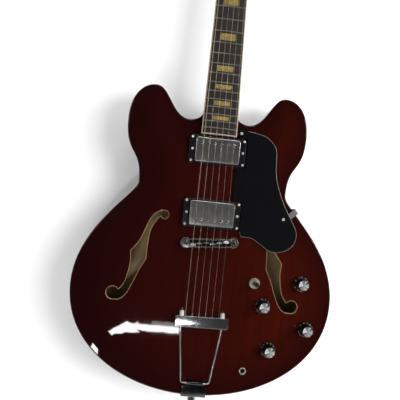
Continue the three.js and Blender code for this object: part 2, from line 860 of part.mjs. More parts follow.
// Fretboard with a crowned face; its frets follow the same radius
function boardSection(half, top, bottom, steps) {
  const points = [];
  for (let i = 0; i <= steps; i += 1) {
    const x = half - (2 * half * i) / steps;
    points.push(new THREE.Vector2(x, top + crownAt(x)));
  }
  if (bottom !== null) points.push(new THREE.Vector2(-half, bottom), new THREE.Vector2(half, bottom));
  return points;
}

function fretboard() {
  const rings = [boardEnd, scaleLength - glueGap].map((y) => boardSection(boardHalfAt(y),
    boardThickness, glueGap, 3).map((point) => new THREE.Vector3(point.x, y, point.y)));
  let board = solid(loft(rings));
  for (let number = 1; number <= fretCount; number += 1) {
    const y = fretY(number);
    const half = boardHalfAt(y) - fretInset;
    const crown = boardSection(half, boardThickness + fretHeight, null, 3);
    const root = boardSection(half, boardThickness - fretRoot, null, 3).reverse();
    const rib = prism(new THREE.Shape([...crown, ...root]), -fretWidth / 2, fretWidth / 2);
    board = board.add(solid(rib.rotateX(Math.PI / 2).translate(0, y, 0)));
  }
  return board;
}

const stringHeightAtNut = boardThickness + fretHeight + actionAtNut;

function nut() {
  let body = solid(box(-boardAtNut / 2, boardAtNut / 2, scaleLength, scaleLength + nutLength - glueGap,
    glueGap, nutHeight));
  stringRadii.forEach((radius, string) => {
    const x = stringX(nutSpread, string);
    const half = radius + seatGap;
    const floor = stringHeightAtNut - half;
    const slot = box(x - half, x + half, scaleLength - cutOver, scaleLength + nutLength + cutOver,
      floor, nutHeight + cutOver);
    body = body.subtract(solid(slot));
  });
  return body;
}

// Tuners: a plate with three closed housings on each side of the headstock's back

function tunerStrip(side) {
  const places = tunerPlaces().filter((place) => place.side === side);
  const x = places[0].x;
  const ys = places.map((place) => place.y);
  const back = -headThickness - seatGap;
  const plateBack = back - tunerPlateThickness;
  let strip = solid(box(x - tunerPlateHalf, x + tunerPlateHalf, Math.min(...ys) - tunerPlateMargin,
    Math.max(...ys) + tunerPlateMargin, plateBack, back));
  for (const y of ys) {
    const housing = geometryOf(softBlock(housingHalfWidth, housingLength / 2, 0, housingHeight,
      housingEdge, housingEdge / 2, 1));
    housing.rotateX(Math.PI).translate(x, y, plateBack + tunerPlateThickness / 2);
    strip = strip.add(solid(housing));
    strip = strip.subtract(solid(rod(postRadius + runGap, back - postFootDepth - seatGap, cutOver, 8, x, y)));
    const shaft = rod(shaftRadius + runGap, 0, shaftReach, 8).rotateY(side * Math.PI / 2);
    strip = strip.subtract(solid(shaft.translate(x + side * postRadius, y, shaftAxisZ())));
  }
  return strip;
}

function shaftAxisZ() {
  return -headThickness - seatGap - tunerPlateThickness - housingHeight / 2;
}

// Its foot turns in the housing and the waist takes the wraps
function tunerPost() {
  const foot = -headThickness - seatGap - postFootDepth;
  return solid(turned([
    [0, foot], [postRadius, foot], [postRadius, postCollar], [postWaist, postCollar + postRadius / 2],
    [postWaist, postHeight - postHead], [postRadius, postHeight - postHead + postRadius / 4],
    [postRadius, postHeight], [0, postHeight],
  ], 7));
}

// Drawn about x: the shaft, a collar and a flattened oval grip
function tunerButton() {
  const shaft = turned([
    [0, 0], [shaftRadius, 0], [shaftRadius, shaftReach], [buttonNeckRadius, shaftReach + shaftRadius],
    [buttonNeckRadius, shaftReach + 2 * shaftRadius], [0, shaftReach + 2 * shaftRadius],
  ], 6);
  const grip = new THREE.SphereGeometry(1, 8, 5);
  grip.scale(buttonHalfWidth, buttonHalfThick, buttonLength / 2);
  grip.translate(0, 0, shaftReach + shaftRadius + buttonLength / 2);
  return solid(shaft).add(solid(grip));
}

// Pickups and their rings

function pickup(faceHeight) {
  let can = softBlock(coverWidth / 2, coverBreadth / 2, faceHeight - canDepth, faceHeight,
    coverCorner, coverEdge);
  const tabs = box(-tabHalf, tabHalf, -tabBreadth / 2, tabBreadth / 2,
    faceHeight - canDepth, faceHeight - canDepth + tabThickness);
  can = can.add(solid(tabs));
  for (let string = 0; string < 6; string += 1) {
    const pole = rod(poleRadius, faceHeight - poleRadius, faceHeight + poleRise, 6,
      stringX(poleSpread, string), poleOffset);
    can = can.add(solid(pole));
  }
  return can;
}

// The bridge pickup's screws face the bridge, the neck pickup's face the neck
function pickupRing(height, y) {
  const shape = roundedRectangle(ringHalfX, ringHalfY, ringCorner);
  const settings = {
    depth: height - ringTaper, bevelEnabled: true, bevelSize: -ringTaper, bevelThickness: ringTaper,
    bevelSegments: 1, curveSegments: 2,
  };
  const windowX = coverWidth / 2 + runGap;
  const windowY = coverBreadth / 2 + runGap;
  const blank = new THREE.ExtrudeGeometry(shape, settings).translate(0, y, 0);
  const opening = box(-windowX, windowX, y - windowY, y + windowY, -rimDepth, rimDepth);
  return solid(blank).subtract(solid(opening)).subtract(belowTop(seatGap));
}

// Bridge, drawn about its own centre between the posts

function bridgeBody() {
  const half = postSpacing / 2;
  const shape = new THREE.Shape();
  shape.moveTo(-half, -bridgeHalfBreadth);
  shape.lineTo(half, -bridgeHalfBreadth);
  shape.absarc(half, 0, bridgeHalfBreadth, -Math.PI / 2, Math.PI / 2);
  shape.lineTo(-half, bridgeHalfBreadth);
  shape.absarc(-half, 0, bridgeHalfBreadth, Math.PI / 2, Math.PI * 1.5);
  let body = solid(prism(shape, bridgeBottom, bridgeTop));
  for (const side of [-1, 1]) {
    const near = side * (slotHalfLength + bridgeEndMargin);
    const far = side * (half + 2 * bridgeHalfBreadth);
    body = body.subtract(solid(box(Math.min(near, far), Math.max(near, far), -bridgeHalfBreadth * 2,
      bridgeHalfBreadth * 2, bridgeEndTop, bridgeTop + cutOver)));
    const hole = rod(bridgePostRadius + runGap, bridgeBottom - cutOver, bridgeTop + cutOver, 12);
    body = body.subtract(solid(hole.translate(side * half, 0, 0)));
  }
  body = body.subtract(solid(box(-slotHalfLength, slotHalfLength, -slotHalfBreadth, slotHalfBreadth,
    slotFloor, bridgeTop + cutOver)));
  for (let string = 0; string < 6; string += 1) {
    const screw = rod(saddleScrewRadius, -bridgeHalfBreadth - saddleScrewRadius, bridgeHalfBreadth, 6);
    screw.rotateX(-Math.PI / 2).translate(saddleX(string), 0, saddleScrewHeight);
    body = body.add(solid(screw));
  }
  return body;
}

function saddleX(string) {
  return stringX(bridgeSpread, string) - bridgeX;
}

// A block with two slopes that meet under the string
function saddle(string) {
  const top = saddleTop + crownAt(stringX(bridgeSpread, string));
  const side = outlineShape([
    [-saddleHalfY, slotFloor + seatGap], [saddleHalfY, slotFloor + seatGap],
    [saddleHalfY, saddleShoulder], [saddleRidge, top], [-saddleRidge, top], [-saddleHalfY, saddleShoulder],
  ]);
  const block = prism(side, -saddleHalfX, saddleHalfX);
  block.applyMatrix4(new THREE.Matrix4().makeBasis(
    new THREE.Vector3(0, 1, 0), new THREE.Vector3(0, 0, 1), new THREE.Vector3(1, 0, 0)));
  const bore = rod(saddleScrewRadius + runGap, -bridgeHalfBreadth, bridgeHalfBreadth, 8);
  bore.rotateX(Math.PI / 2).translate(0, 0, saddleScrewHeight);
  return solid(block).subtract(solid(bore));
}

// A knurled wheel in one piece with its threaded post
function thumbwheel() {
  const wheelTop = bridgeBottom - seatGap;
  return solid(turned([
    [0, bridgeTop - bridgePostDepth], [bridgePostRadius, bridgeTop - bridgePostDepth],
    [bridgePostRadius, wheelTop - wheelThickness], [wheelRadius, wheelTop - wheelThickness],
    [wheelRadius, wheelTop], [bridgePostRadius, wheelTop],
    [bridgePostRadius, bridgeEndTop - seatGap], [0, bridgeEndTop - seatGap],
  ], 12));
}

// Tailpiece

function tailWire() {
  const top = new THREE.Vector3(wireTopX, barY + wireTopReach, barHeight);
  const exit = new THREE.Vector3(wireTopX, barY - barHalfBreadth - wireCorner, barHeight);
  const corner = new THREE.Vector3(wireTailX, wireTailY, wireTailHeight);
  const along = corner.clone().sub(exit).normalize();
  const right = [top, new THREE.Vector3(wireTopX, barY, barHeight), exit];
  const bend = new THREE.QuadraticBezierCurve3(
    corner.clone().addScaledVector(along, -wireCorner), corner,
    new THREE.Vector3(wireTailX - wireCorner, wireTailY, wireTailHeight));
  right.push(...bend.getPoints(4));
  const left = right.slice().reverse().map((point) => new THREE.Vector3(-point.x, point.y, point.z));
  return solid(tube([...right, ...left], wireRadius, 7));
}

// A thick bar; each rod's barrel nut is part of it
function tailBar() {
  let bar = solid(new THREE.ExtrudeGeometry(roundedRectangle(
    barHalfLength - barEdge, barHalfDepth - barEdge, barEdge), {
    depth: 2 * (barHalfBreadth - barEdge), bevelEnabled: true, bevelSize: barEdge,
    bevelThickness: barEdge, bevelSegments: 1, curveSegments: 2,
  }).translate(0, 0, -barHalfBreadth + barEdge).rotateX(-Math.PI / 2));
  for (const side of [-1, 1]) {
    const barrel = rod(barrelRadius, 0, barHalfBreadth + barrelLength, 10).rotateX(-Math.PI / 2);
    bar = bar.add(solid(barrel.translate(side * wireTopX, 0, 0)));
    const bore = rod(wireRadius + runGap, -barHalfLength, barHalfLength, 10).rotateX(-Math.PI / 2);
    bar = bar.subtract(solid(bore.translate(side * wireTopX, 0, 0)));
  }
  for (let string = 0; string < 6; string += 1) {
    const bore = rod(stringHoleRadius, -barHalfLength, barHalfLength, 6).rotateX(-Math.PI / 2);
    bar = bar.subtract(solid(bore.translate(stringX(bridgeSpread, string), 0, 0)));
  }
  return bar;
}

// A knuckle round the wire, a tongue over the edge and a plate down the tail
function tailHinge() {
  const knuckleRadius = wireRadius + runGap + hingeThickness;
  const lowZ = wireTailHeight - knuckleRadius;
  const edgeY = tailY - seatGap;
  const tongue = outlineShape([
    [wireTailY, lowZ], [tailY - glueGap, glueGap], [edgeY, -hingeDrop],
    [edgeY - hingeThickness, -hingeDrop], [edgeY - hingeThickness, hingeThickness],
    [tailY + hingeThickness, 2 * hingeThickness], [wireTailY, lowZ + hingeThickness],
  ]);
  const toSide = new THREE.Matrix4().makeBasis(
    new THREE.Vector3(0, 1, 0), new THREE.Vector3(0, 0, 1), new THREE.Vector3(1, 0, 0));
  const plate = prism(tongue, -hingeHalfWidth, hingeHalfWidth).applyMatrix4(toSide);
  const knuckle = rod(knuckleRadius, -knuckleHalf, knuckleHalf, 14).rotateY(Math.PI / 2);
  const bore = rod(wireRadius + runGap, -hingeHalfWidth, hingeHalfWidth, 12).rotateY(Math.PI / 2);
  return solid(plate).add(solid(knuckle.translate(0, wireTailY, wireTailHeight)))
    .subtract(solid(bore.translate(0, wireTailY, wireTailHeight)))
    .subtract(tailScrewHole()).subtract(belowTop(glueGap));
}

function strapButton() {
  return solid(turned([
    [0, -strapShankLength], [strapShankRadius, -strapShankLength + strapShankRadius], [strapShankRadius, 0],
    [strapBaseRadius, 0], [strapWaistRadius, strapLength / 4],
    [strapWaistRadius, strapLength - 1.6 * strapHeadLength],
    [strapHeadRadius, strapLength - strapHeadLength], [strapHeadRadius, strapLength - strapHeadLength / 4],
    [strapHeadRadius * 0.9, strapLength], [0, strapLength],
  ], 10));
}

// Pickguard and its bracket

function pickguard() {
  const guardSpan = guardTop - guardBottom;
  const place = ([x, y]) => new THREE.Vector2(guardLeft + x * guardWidth, guardBottom + y * guardSpan);
  const clear = ringHalfX + guardRingGap;
  const ringReach = ringHalfY + guardRingGap;
  const outer = new THREE.SplineCurve(guardOuterShares.map(place)).getPoints(34);
  const shape = new THREE.Shape([
    new THREE.Vector2(guardLeft, guardTop), ...outer,
    new THREE.Vector2(clear, bridgePickupY - ringReach),
    new THREE.Vector2(clear, bridgePickupY + ringReach),
    new THREE.Vector2(guardLeft, bridgePickupY + ringReach),
    new THREE.Vector2(guardLeft, neckPickupY - ringReach),
    new THREE.Vector2(clear, neckPickupY - ringReach),
    new THREE.Vector2(clear, neckPickupY + ringReach),
    new THREE.Vector2(guardLeft, neckPickupY + ringReach),
  ]);
  const pillar = rod(guardPillarRadius, 0, guardHeight - guardThickness / 2, 10, guardPillarX,
    guardTop - guardPillarDrop);
  return solid(prism(shape, guardHeight - guardThickness, guardHeight))
    .add(solid(pillar)).subtract(belowTop(seatGap));
}

// An angle strip: under the guard, out past the edge and down the side
function guardBracket() {
  const top = guardHeight - guardThickness - seatGap;
  const strip = box(-bracketReach, bracketStand + bracketThickness, -bracketHalf, bracketHalf,
    top - bracketThickness, top);
  const leg = box(bracketStand, bracketStand + bracketThickness, -bracketHalf, bracketHalf,
    -bracketDrop, top);
  const foot = rod(bracketHalf / 2, -cutOver, bracketStand + bracketThickness / 2, 8).rotateY(Math.PI / 2);
  foot.translate(0, 0, -bracketDrop + bracketHalf);
  const clear = box(-bracketReach, seatGap, -bracketHalf, bracketHalf, -2 * bracketDrop, 0);
  return solid(strip).add(solid(leg)).add(solid(foot).subtract(solid(clear)));
}

// Controls

function highestUnder(x, y, radius) {
  let best = topHeight(x, y);
  for (let i = 0; i < 12; i += 1) {
    const angle = (i / 12) * Math.PI * 2;
    best = Math.max(best, topHeight(x + radius * Math.cos(angle), y + radius * Math.sin(angle)));
  }
  return best;
}

function lowestUnder(x, y, radius) {
  let best = topHeight(x, y);
  for (let i = 0; i < 12; i += 1) {
    const angle = (i / 12) * Math.PI * 2;
    best = Math.min(best, topHeight(x + radius * Math.cos(angle), y + radius * Math.sin(angle)));
  }
  return best - plateThickness - sheetSlack;
}

// A flared skirt, a round body and a sunk metal cap; the shaft is pressed into it
function knob() {
  return solid(turned([
    [0, -potSeat], [shaftOfPot, -potSeat], [shaftOfPot, 0], [knobSkirtRadius, 0],
    [knobSkirtRadius, knobSkirtEdge], [knobBodyRadius + knobCapInset, knobShoulder],
    [knobBodyRadius, knobHeight - knobSkirtEdge], [knobCapRadius, knobHeight],
    [knobCapRadius - knobCapInset, knobHeight - knobCapInset], [0, knobHeight - knobCapInset],
  ], 12));
}

// Placed by its knob's base, so that the shaft and the bore line up
function pot(base, housingTop) {
  const rise = base - knobGap / 2;
  return solid(turned([
    [0, housingTop - potDepth], [potRadius, housingTop - potDepth], [potRadius, housingTop],
    [potBushing, housingTop], [potBushing, rise],
    [shaftOfPot + runGap, rise], [shaftOfPot + runGap, base - potSeat - seatGap],
    [0, base - potSeat - seatGap],
  ], 8));
}

function toggleSwitch(surface, housingTop) {
  const top = surface + toggleNutHeight;
  const body = box(-toggleHalfX, toggleHalfX, -toggleHalfY, toggleHalfY,
    housingTop - toggleDepth, housingTop);
  const collar = turned([
    [0, housingTop - seatGap], [toggleBushing, housingTop - seatGap], [toggleBushing, surface + seatGap],
    [toggleNutRadius, surface + seatGap], [toggleNutRadius, top - seatGap * 4],
    [toggleNutRadius - seatGap * 4, top], [0, top],
  ], 12);
  const bore = rod(toggleBore, top - toggleBoreDepth, top + cutOver, 10);
  return solid(body).add(solid(collar)).subtract(solid(bore));
}

// Its ball is the pivot; it stands straight up here and is tilted where it is placed
function toggleLever() {
  const ball = toggleBore - 1.5 * runGap;
  return solid(turned([
    [0, -leverFoot], [leverRadius, -leverFoot], [leverRadius, -ball], [ball, 0], [leverRadius, ball],
    [leverRadius, leverLength - leverTipLength], [leverTip * 0.75, leverLength - leverTipLength],
    [leverTip, leverLength - leverTip], [leverTip * 0.7, leverLength - leverTip / 4], [0, leverLength],
  ], 8));
}

function jackSocket(surface, housingTop) {
  const top = surface + jackNutHeight;
  return solid(turned([
    [jackBore, housingTop - jackDepth], [jackBodyRadius, housingTop - jackDepth],
    [jackBodyRadius, housingTop - jackBushing], [jackBushing, housingTop - jackBushing],
    [jackBushing, surface + seatGap], [jackNutRadius, surface + seatGap],
    [jackNutRadius, top - seatGap], [jackNutRadius - 2 * seatGap, top], [jackBore, top],
    [jackBore, housingTop - jackDepth],
  ], 10));
}

// Strings, each from the bar over its saddle and the nut to its post

function stringRoute(string) {
  const radius = stringRadii[string];
  const { side, x: postX, y: postY } = tunerPlaces()[string];
  const x = stringX(bridgeSpread, string);
  const slantY = bridgeY + Math.tan(bridgeSlant) * (x - bridgeX) + saddleTravelAt(string);
  const overSaddle = saddleTop + crownAt(x) + radius + 1.5 * seatGap;
  const points = [
    new THREE.Vector3(x, barY - barHalfBreadth, barHeight),
    new THREE.Vector3(x, barY + barHalfBreadth, barHeight),
    new THREE.Vector3(x, slantY, overSaddle),
  ];
  const nutX = stringX(nutSpread, string);
  points.push(neckPoint(nutX, scaleLength, stringHeightAtNut));
  const leaveNut = new THREE.Vector3(nutX, 0, stringHeightAtNut);
  points.push(headPoint(leaveNut.x, leaveNut.y, leaveNut.z));
  const helix = (postWaist + seatGap + radius) / Math.cos(Math.PI / wrapStepsPerTurn);
  const toPost = new THREE.Vector2(postX - nutX, postY);
  const distance = toPost.length();
  const aim = Math.atan2(toPost.y, toPost.x);
  const spread = Math.acos(helix / distance);
  const startAngle = aim + Math.PI - side * spread;
  const steps = Math.round(wrapTurns * wrapStepsPerTurn);
  const pitch = 2 * radius + seatGap * 2;
  for (let i = 0; i <= steps; i += 1) {
    const turn = i / wrapStepsPerTurn;
    const angle = startAngle - side * turn * Math.PI * 2;
    points.push(headPoint(postX + helix * Math.cos(angle), postY + helix * Math.sin(angle),
      wrapHeight - turn * pitch));
  }
  const endAngle = startAngle - side * wrapTurns * Math.PI * 2;
  points.push(headPoint(postX + (helix + wrapTail) * Math.cos(endAngle - side * 0.5),
    postY + (helix + wrapTail) * Math.sin(endAngle - side * 0.5), wrapHeight - wrapTurns * pitch));
  return points;
}

// Intonation: each saddle's place within its travel
const saddleTravel = slotHalfBreadth - saddleHalfY - seatGap;

function saddleTravelAt(string) {
  return saddleOffsetShares[string] * saddleTravel;
}

// The whole guitar

const hangPoint = neckPoint(0, scaleLength, 0);
const guitar = new THREE.Group();
guitar.rotation.x = Math.PI / 2;
guitar.position.set(0, hangPoint.z, -hangPoint.y);

const neckGroup = new THREE.Group();
neckGroup.position.copy(neckFrame.position);
neckGroup.rotation.copy(neckFrame.rotation);
const headGroup = new THREE.Group();
headGroup.position.copy(headFrame.position);
headGroup.rotation.copy(headFrame.rotation);
neckGroup.add(headGroup);
const bridgeGroup = new THREE.Group();
bridgeGroup.position.set(bridgeX, bridgeY, 0);
bridgeGroup.rotation.z = bridgeSlant;
guitar.add(neckGroup, bridgeGroup);

function finish(color, roughness, metalness) {
  return () => new THREE.MeshStandardMaterial({ color, roughness, metalness });
}

const darkLacquer = finish(0x3a0d0a, 0.12, 0);
const bareMaple = finish(0xc9a778, 0.7, 0);
const neckLacquer = finish(0x35100c, 0.2, 0);
const rosewood = finish(0x2a1b17, 0.55, 0);
const bone = finish(0xe8dfc6, 0.4, 0);
const chrome = finish(0xd8d9db, 0.1, 1);
const nickel = finish(0xc9c4b8, 0.22, 1);
const blackPlastic = finish(0x0c0c0e, 0.25, 0);
const steel = finish(0x9a9b9e, 0.35, 1);
const pearl = finish(0xdcd8c8, 0.3, 0);
const bronzeWound = finish(0xa08a72, 0.35, 1);

function piece(name, body, makeMaterial, parent = guitar) {
  const mesh = new THREE.Mesh(geometryOf(body), makeMaterial());
  mesh.name = name;
  parent.add(mesh);
  return mesh;
}

piece('body_top', bodyTop(), darkLacquer);
piece('body_rim', bodyRim(), darkLacquer);
piece('body_back', bodyBack(), darkLacquer);
piece('centre_block', centreBlock(), bareMaple);
piece('neck', neckBody(), neckLacquer);
piece('truss_rod', trussRod(), steel);
piece('fretboard', fretboard(), rosewood, neckGroup);
piece('nut', nut(), bone, neckGroup);
piece('truss_rod_cover', trussRodCover(), blackPlastic, headGroup);

piece('tuner_strip_bass', tunerStrip(-1), nickel, headGroup);
piece('tuner_strip_treble', tunerStrip(1), nickel, headGroup);
tunerPlaces().forEach(({ side, x, y }, string) => {
  const post = piece(`tuner_post_${string + 1}`, tunerPost(), nickel, headGroup);
  post.position.set(x, y, 0);
  const button = piece(`tuner_button_${string + 1}`, tunerButton(), pearl, headGroup);
  button.position.set(x + side * (postRadius + 2 * runGap), y, shaftAxisZ());
  button.rotation.y = side * Math.PI / 2;
});

[['neck', neckPickupY, neckPickupHeight, neckRingHeight, 0],
  ['bridge', bridgePickupY, bridgePickupHeight, bridgeRingHeight, Math.PI]].forEach(
  ([name, y, face, ringTop, turn]) => {
    const body = pickup(face);
    const mesh = piece(`${name}_pickup`, body, nickel);
    mesh.position.set(0, y, 0);
    mesh.rotation.z = turn;
    piece(`${name}_pickup_ring`, pickupRing(ringTop, y), blackPlastic);
  });

piece('bridge_body', bridgeBody(), nickel, bridgeGroup);
for (let string = 0; string < 6; string += 1) {
  const mesh = piece(`saddle_${string + 1}`, saddle(string), nickel, bridgeGroup);
  mesh.position.set(saddleX(string), saddleTravelAt(string), 0);
}
['bass', 'treble'].forEach((name, i) => {
  const mesh = piece(`thumbwheel_${name}`, thumbwheel(), nickel, bridgeGroup);
  mesh.position.x = (i - 0.5) * postSpacing;
});

piece('tailpiece_wire', tailWire(), chrome);
const bar = piece('tailpiece_bar', tailBar(), chrome);
bar.position.set(0, barY, barHeight);
piece('tailpiece_hinge', tailHinge(), chrome);

const tailButton = piece('strap_button_tail', strapButton(), nickel);
tailButton.position.set(0, tailY - 2 * seatGap - hingeThickness, -strapDepth);
tailButton.rotation.x = Math.PI / 2;
const heelButton = piece('strap_button_heel', strapButton(), nickel, neckGroup);
heelButton.position.set(0, heelButtonY, -heelDepth - 2 * seatGap);
heelButton.rotation.x = Math.PI;

piece('pickguard', pickguard(), blackPlastic);
const bracket = piece('pickguard_bracket', guardBracket(), nickel);
const bracketEdge = edgeAt(bracketY);
bracket.position.set(bracketEdge.place.x, bracketEdge.place.y, 0);
bracket.rotation.z = bracketEdge.turn;

for (const [name, x, y] of knobPlaces()) {
  const base = highestUnder(x, y, knobSkirtRadius) + knobGap;
  const mesh = piece(`knob_${name}`, knob(), blackPlastic);
  mesh.position.set(x, y, base);
  const housingTop = lowestUnder(x, y, potRadius) - seatGap;
  piece(`pot_${name}`, pot(base, housingTop), steel).position.set(x, y, 0);
}

const toggleSurface = highestUnder(toggleX, toggleY, toggleNutRadius);
const switchTop = lowestUnder(toggleX, toggleY, toggleHalfY) - seatGap;
piece('toggle_switch', toggleSwitch(toggleSurface, switchTop), chrome).position.set(toggleX, toggleY, 0);
const lever = piece('toggle_lever', toggleLever(), blackPlastic);
lever.position.set(toggleX, toggleY, toggleSurface + toggleNutHeight - leverPivotDrop);
lever.rotation.set(0, leverTilt, leverThrow, 'ZYX');

piece('output_jack', jackSocket(highestUnder(jackX, jackY, jackNutRadius),
  lowestUnder(jackX, jackY, jackBodyRadius) - seatGap), nickel).position.set(jackX, jackY, 0);

stringRadii.forEach((radius, string) => {
  piece(`string_${string + 1}`, solid(tube(stringRoute(string), radius, stringSides)), bronzeWound);
});

export default guitar;
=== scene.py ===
import math

import bmesh
import bpy
import numpy as np
from mathutils import Matrix, Vector


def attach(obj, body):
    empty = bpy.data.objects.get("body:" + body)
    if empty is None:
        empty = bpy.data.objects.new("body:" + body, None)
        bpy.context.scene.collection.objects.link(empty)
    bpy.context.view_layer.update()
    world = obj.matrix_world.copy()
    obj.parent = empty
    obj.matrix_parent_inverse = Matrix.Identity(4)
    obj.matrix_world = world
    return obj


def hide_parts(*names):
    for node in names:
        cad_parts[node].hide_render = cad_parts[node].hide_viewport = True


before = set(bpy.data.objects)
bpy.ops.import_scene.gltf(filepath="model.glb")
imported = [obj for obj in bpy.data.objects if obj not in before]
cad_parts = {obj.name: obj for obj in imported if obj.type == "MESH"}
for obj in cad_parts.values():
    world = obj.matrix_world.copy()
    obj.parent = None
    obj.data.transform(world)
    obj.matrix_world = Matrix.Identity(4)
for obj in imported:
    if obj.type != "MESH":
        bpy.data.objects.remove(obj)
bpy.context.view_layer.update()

print("stage: frame loaded")


def shifted(x, y=0, z=0):
    return Matrix.Translation((x, y, z))


def rotated(angle, axis="Z"):
    return Matrix.Rotation(angle, 4, axis)


# Frames of the guitar: pieces are drawn in millimetres and then set in their frame
frames = {"glueLine": 19.5, "neckTilt": -3.1, "headTilt": -14.0, "nutY": 633.0,
          "hangY": 627.081, "hangH": -14.462, "bridgeX": 1.2, "bridgeY": -3.0, "bridgeSlant": 4.4}
bodyFrame = (Matrix.Scale(0.001, 4) @ shifted(0, frames["hangH"], -frames["hangY"])
             @ rotated(math.pi / 2, "X"))
neckInBody = shifted(0, 0, frames["glueLine"]) @ rotated(math.radians(frames["neckTilt"]), "X")
headInNeck = shifted(0, frames["nutY"]) @ rotated(math.radians(frames["headTilt"]), "X")
bridgeInBody = shifted(frames["bridgeX"], frames["bridgeY"]) @ rotated(math.radians(frames["bridgeSlant"]))
neckFrame = bodyFrame @ neckInBody
headFrame = neckFrame @ headInNeck
bridgeFrame = bodyFrame @ bridgeInBody


# Workshop helpers

def leaveEdit():
    bpy.ops.object.mode_set(mode="OBJECT")


def enterEdit():
    bpy.ops.object.mode_set(mode="EDIT")


def clearSelection():
    if bpy.context.object and bpy.context.object.mode != "OBJECT":
        leaveEdit()
    bpy.ops.object.select_all(action="DESELECT")


def pick(piece):
    clearSelection()
    piece.select_set(True)
    bpy.context.view_layer.objects.active = piece


def editAll(piece):
    pick(piece)
    enterEdit()
    bpy.ops.mesh.select_all(action="SELECT")


def turnOut():
    # all faces of the piece in edit mode look outward
    bpy.ops.mesh.select_all(action="SELECT")
    bpy.ops.mesh.normals_make_consistent(inside=False)


def pickTopLoop(piece):
    # the edges round the flat top, picked in edit mode
    editAll(piece)
    bpy.ops.mesh.select_all(action="DESELECT")
    bpy.ops.mesh.select_mode(type="FACE")
    leaveEdit()
    for face in piece.data.polygons:
        face.select = face.normal.z > 0.9
    enterEdit()
    bpy.ops.mesh.region_to_loop()


def paintFaces(piece, test, place):
    for face in piece.data.polygons:
        if test(face.center, face.normal):
            face.material_index = place


def applyModifier(piece, kind, **settings):
    pick(piece)
    modifier = piece.modifiers.new(kind.lower(), kind)
    for name, value in settings.items():
        setattr(modifier, name, value)
    bpy.ops.object.modifier_apply(modifier=modifier.name)


def roundEdges(piece, width, segments=3, angle=35):
    applyModifier(piece, "BEVEL", width=width, segments=segments, limit_method="ANGLE",
                  angle_limit=math.radians(angle), use_clamp_overlap=True)


def cutWith(piece, cutter, operation="DIFFERENCE"):
    applyModifier(piece, "BOOLEAN", operation=operation, solver="EXACT", object=cutter)
    bpy.data.objects.remove(cutter)


def join(pieces):
    clearSelection()
    for piece in pieces:
        piece.select_set(True)
    bpy.context.view_layer.objects.active = pieces[0]
    bpy.ops.object.join()
    return pieces[0]


def faceOut(piece):
    editAll(piece)
    bpy.ops.mesh.remove_doubles(threshold=0.0005)
    turnOut()
    leaveEdit()
    return piece


def addBlock(low, high, edge=0.0, segments=3):
    clearSelection()
    bpy.ops.mesh.primitive_cube_add(size=1, location=[(a + b) / 2 for a, b in zip(low, high)])
    block = bpy.context.active_object
    block.scale = [b - a for a, b in zip(low, high)]
    bpy.ops.object.transform_apply(location=True, rotation=True, scale=True)
    if edge:
        roundEdges(block, edge, segments)
    return block


def addBox(halfX, halfY, low, high, x=0, y=0):
    return addBlock((x - halfX, y - halfY, low), (x + halfX, y + halfY, high))


def addRod(radius, start, end, sides=24, edge=0.0):
    clearSelection()
    start, end = Vector(start), Vector(end)
    along = end - start
    bpy.ops.mesh.primitive_cylinder_add(vertices=sides, radius=radius, depth=along.length)
    rod = bpy.context.active_object
    if edge:
        roundEdges(rod, edge, 2, 50)
    rod.data.transform(shifted(*(start + end) / 2) @ along.to_track_quat("Z", "Y").to_matrix().to_4x4())
    return rod


def addPin(radius, x, y, low, high, sides=24, edge=0.0):
    return addRod(radius, (x, y, low), (x, y, high), sides, edge)


def addTurned(profile, sides):
    # a piece turned about z from [radius, height] pairs
    mesh = bpy.data.meshes.new("profile")
    points = [(radius, 0, height) for radius, height in profile]
    mesh.from_pydata(points, [(i, i + 1) for i in range(len(points) - 1)], [])
    turned = bpy.data.objects.new("turned", mesh)
    bpy.context.collection.objects.link(turned)
    applyModifier(turned, "SCREW", steps=sides, render_steps=sides, use_merge_vertices=True,
                  merge_threshold=0.0005, angle=math.tau, axis="Z")
    return faceOut(turned)


def addPlate(points, low, high, edge=0.0, segments=2, angle=35):
    # a flat shape from its outline, given its thickness
    clearSelection()
    bpy.ops.mesh.primitive_circle_add(vertices=len(points), fill_type="NGON")
    plate = bpy.context.active_object
    for vertex, (x, y) in zip(plate.data.vertices, points):
        vertex.co = (x, y, low)
    editAll(plate)
    bpy.ops.mesh.extrude_region_move(TRANSFORM_OT_translate={"value": (0, 0, high - low)})
    turnOut()
    leaveEdit()
    if edge:
        roundEdges(plate, edge, segments, angle)
    return plate


alongX = Matrix(((0, 0, 1), (1, 0, 0), (0, 1, 0))).to_4x4()
alongY = Matrix(((1, 0, 0), (0, 0, -1), (0, 1, 0))).to_4x4()


def addProfile(points, half, axes):
    # a plate drawn from its side and laid along x or y
    plate = addPlate(points, -half, half)
    plate.data.transform(axes)
    return faceOut(plate)


def addLoft(rings):
    # one ring is drawn, then pulled out and placed again for each of the others
    clearSelection()
    bpy.ops.mesh.primitive_circle_add(vertices=len(rings[0]), fill_type="NGON")
    loft = bpy.context.active_object
    editAll(loft)
    shape = bmesh.from_edit_mesh(loft.data)
    order = shape.verts.layers.int.new("order")
    shape.verts.ensure_lookup_table()
    for i, vertex in enumerate(shape.verts):
        vertex[order] = i
        vertex.co = rings[0][i]
    for ring in rings[1:]:
        bpy.ops.mesh.extrude_region_move()
        shape = bmesh.from_edit_mesh(loft.data)
        order = shape.verts.layers.int["order"]
        for vertex in shape.verts:
            if vertex.select:
                vertex.co = ring[vertex[order]]
    bmesh.update_edit_mesh(loft.data)
    turnOut()
    leaveEdit()
    loft.data.attributes.remove(loft.data.attributes["order"])
    return loft


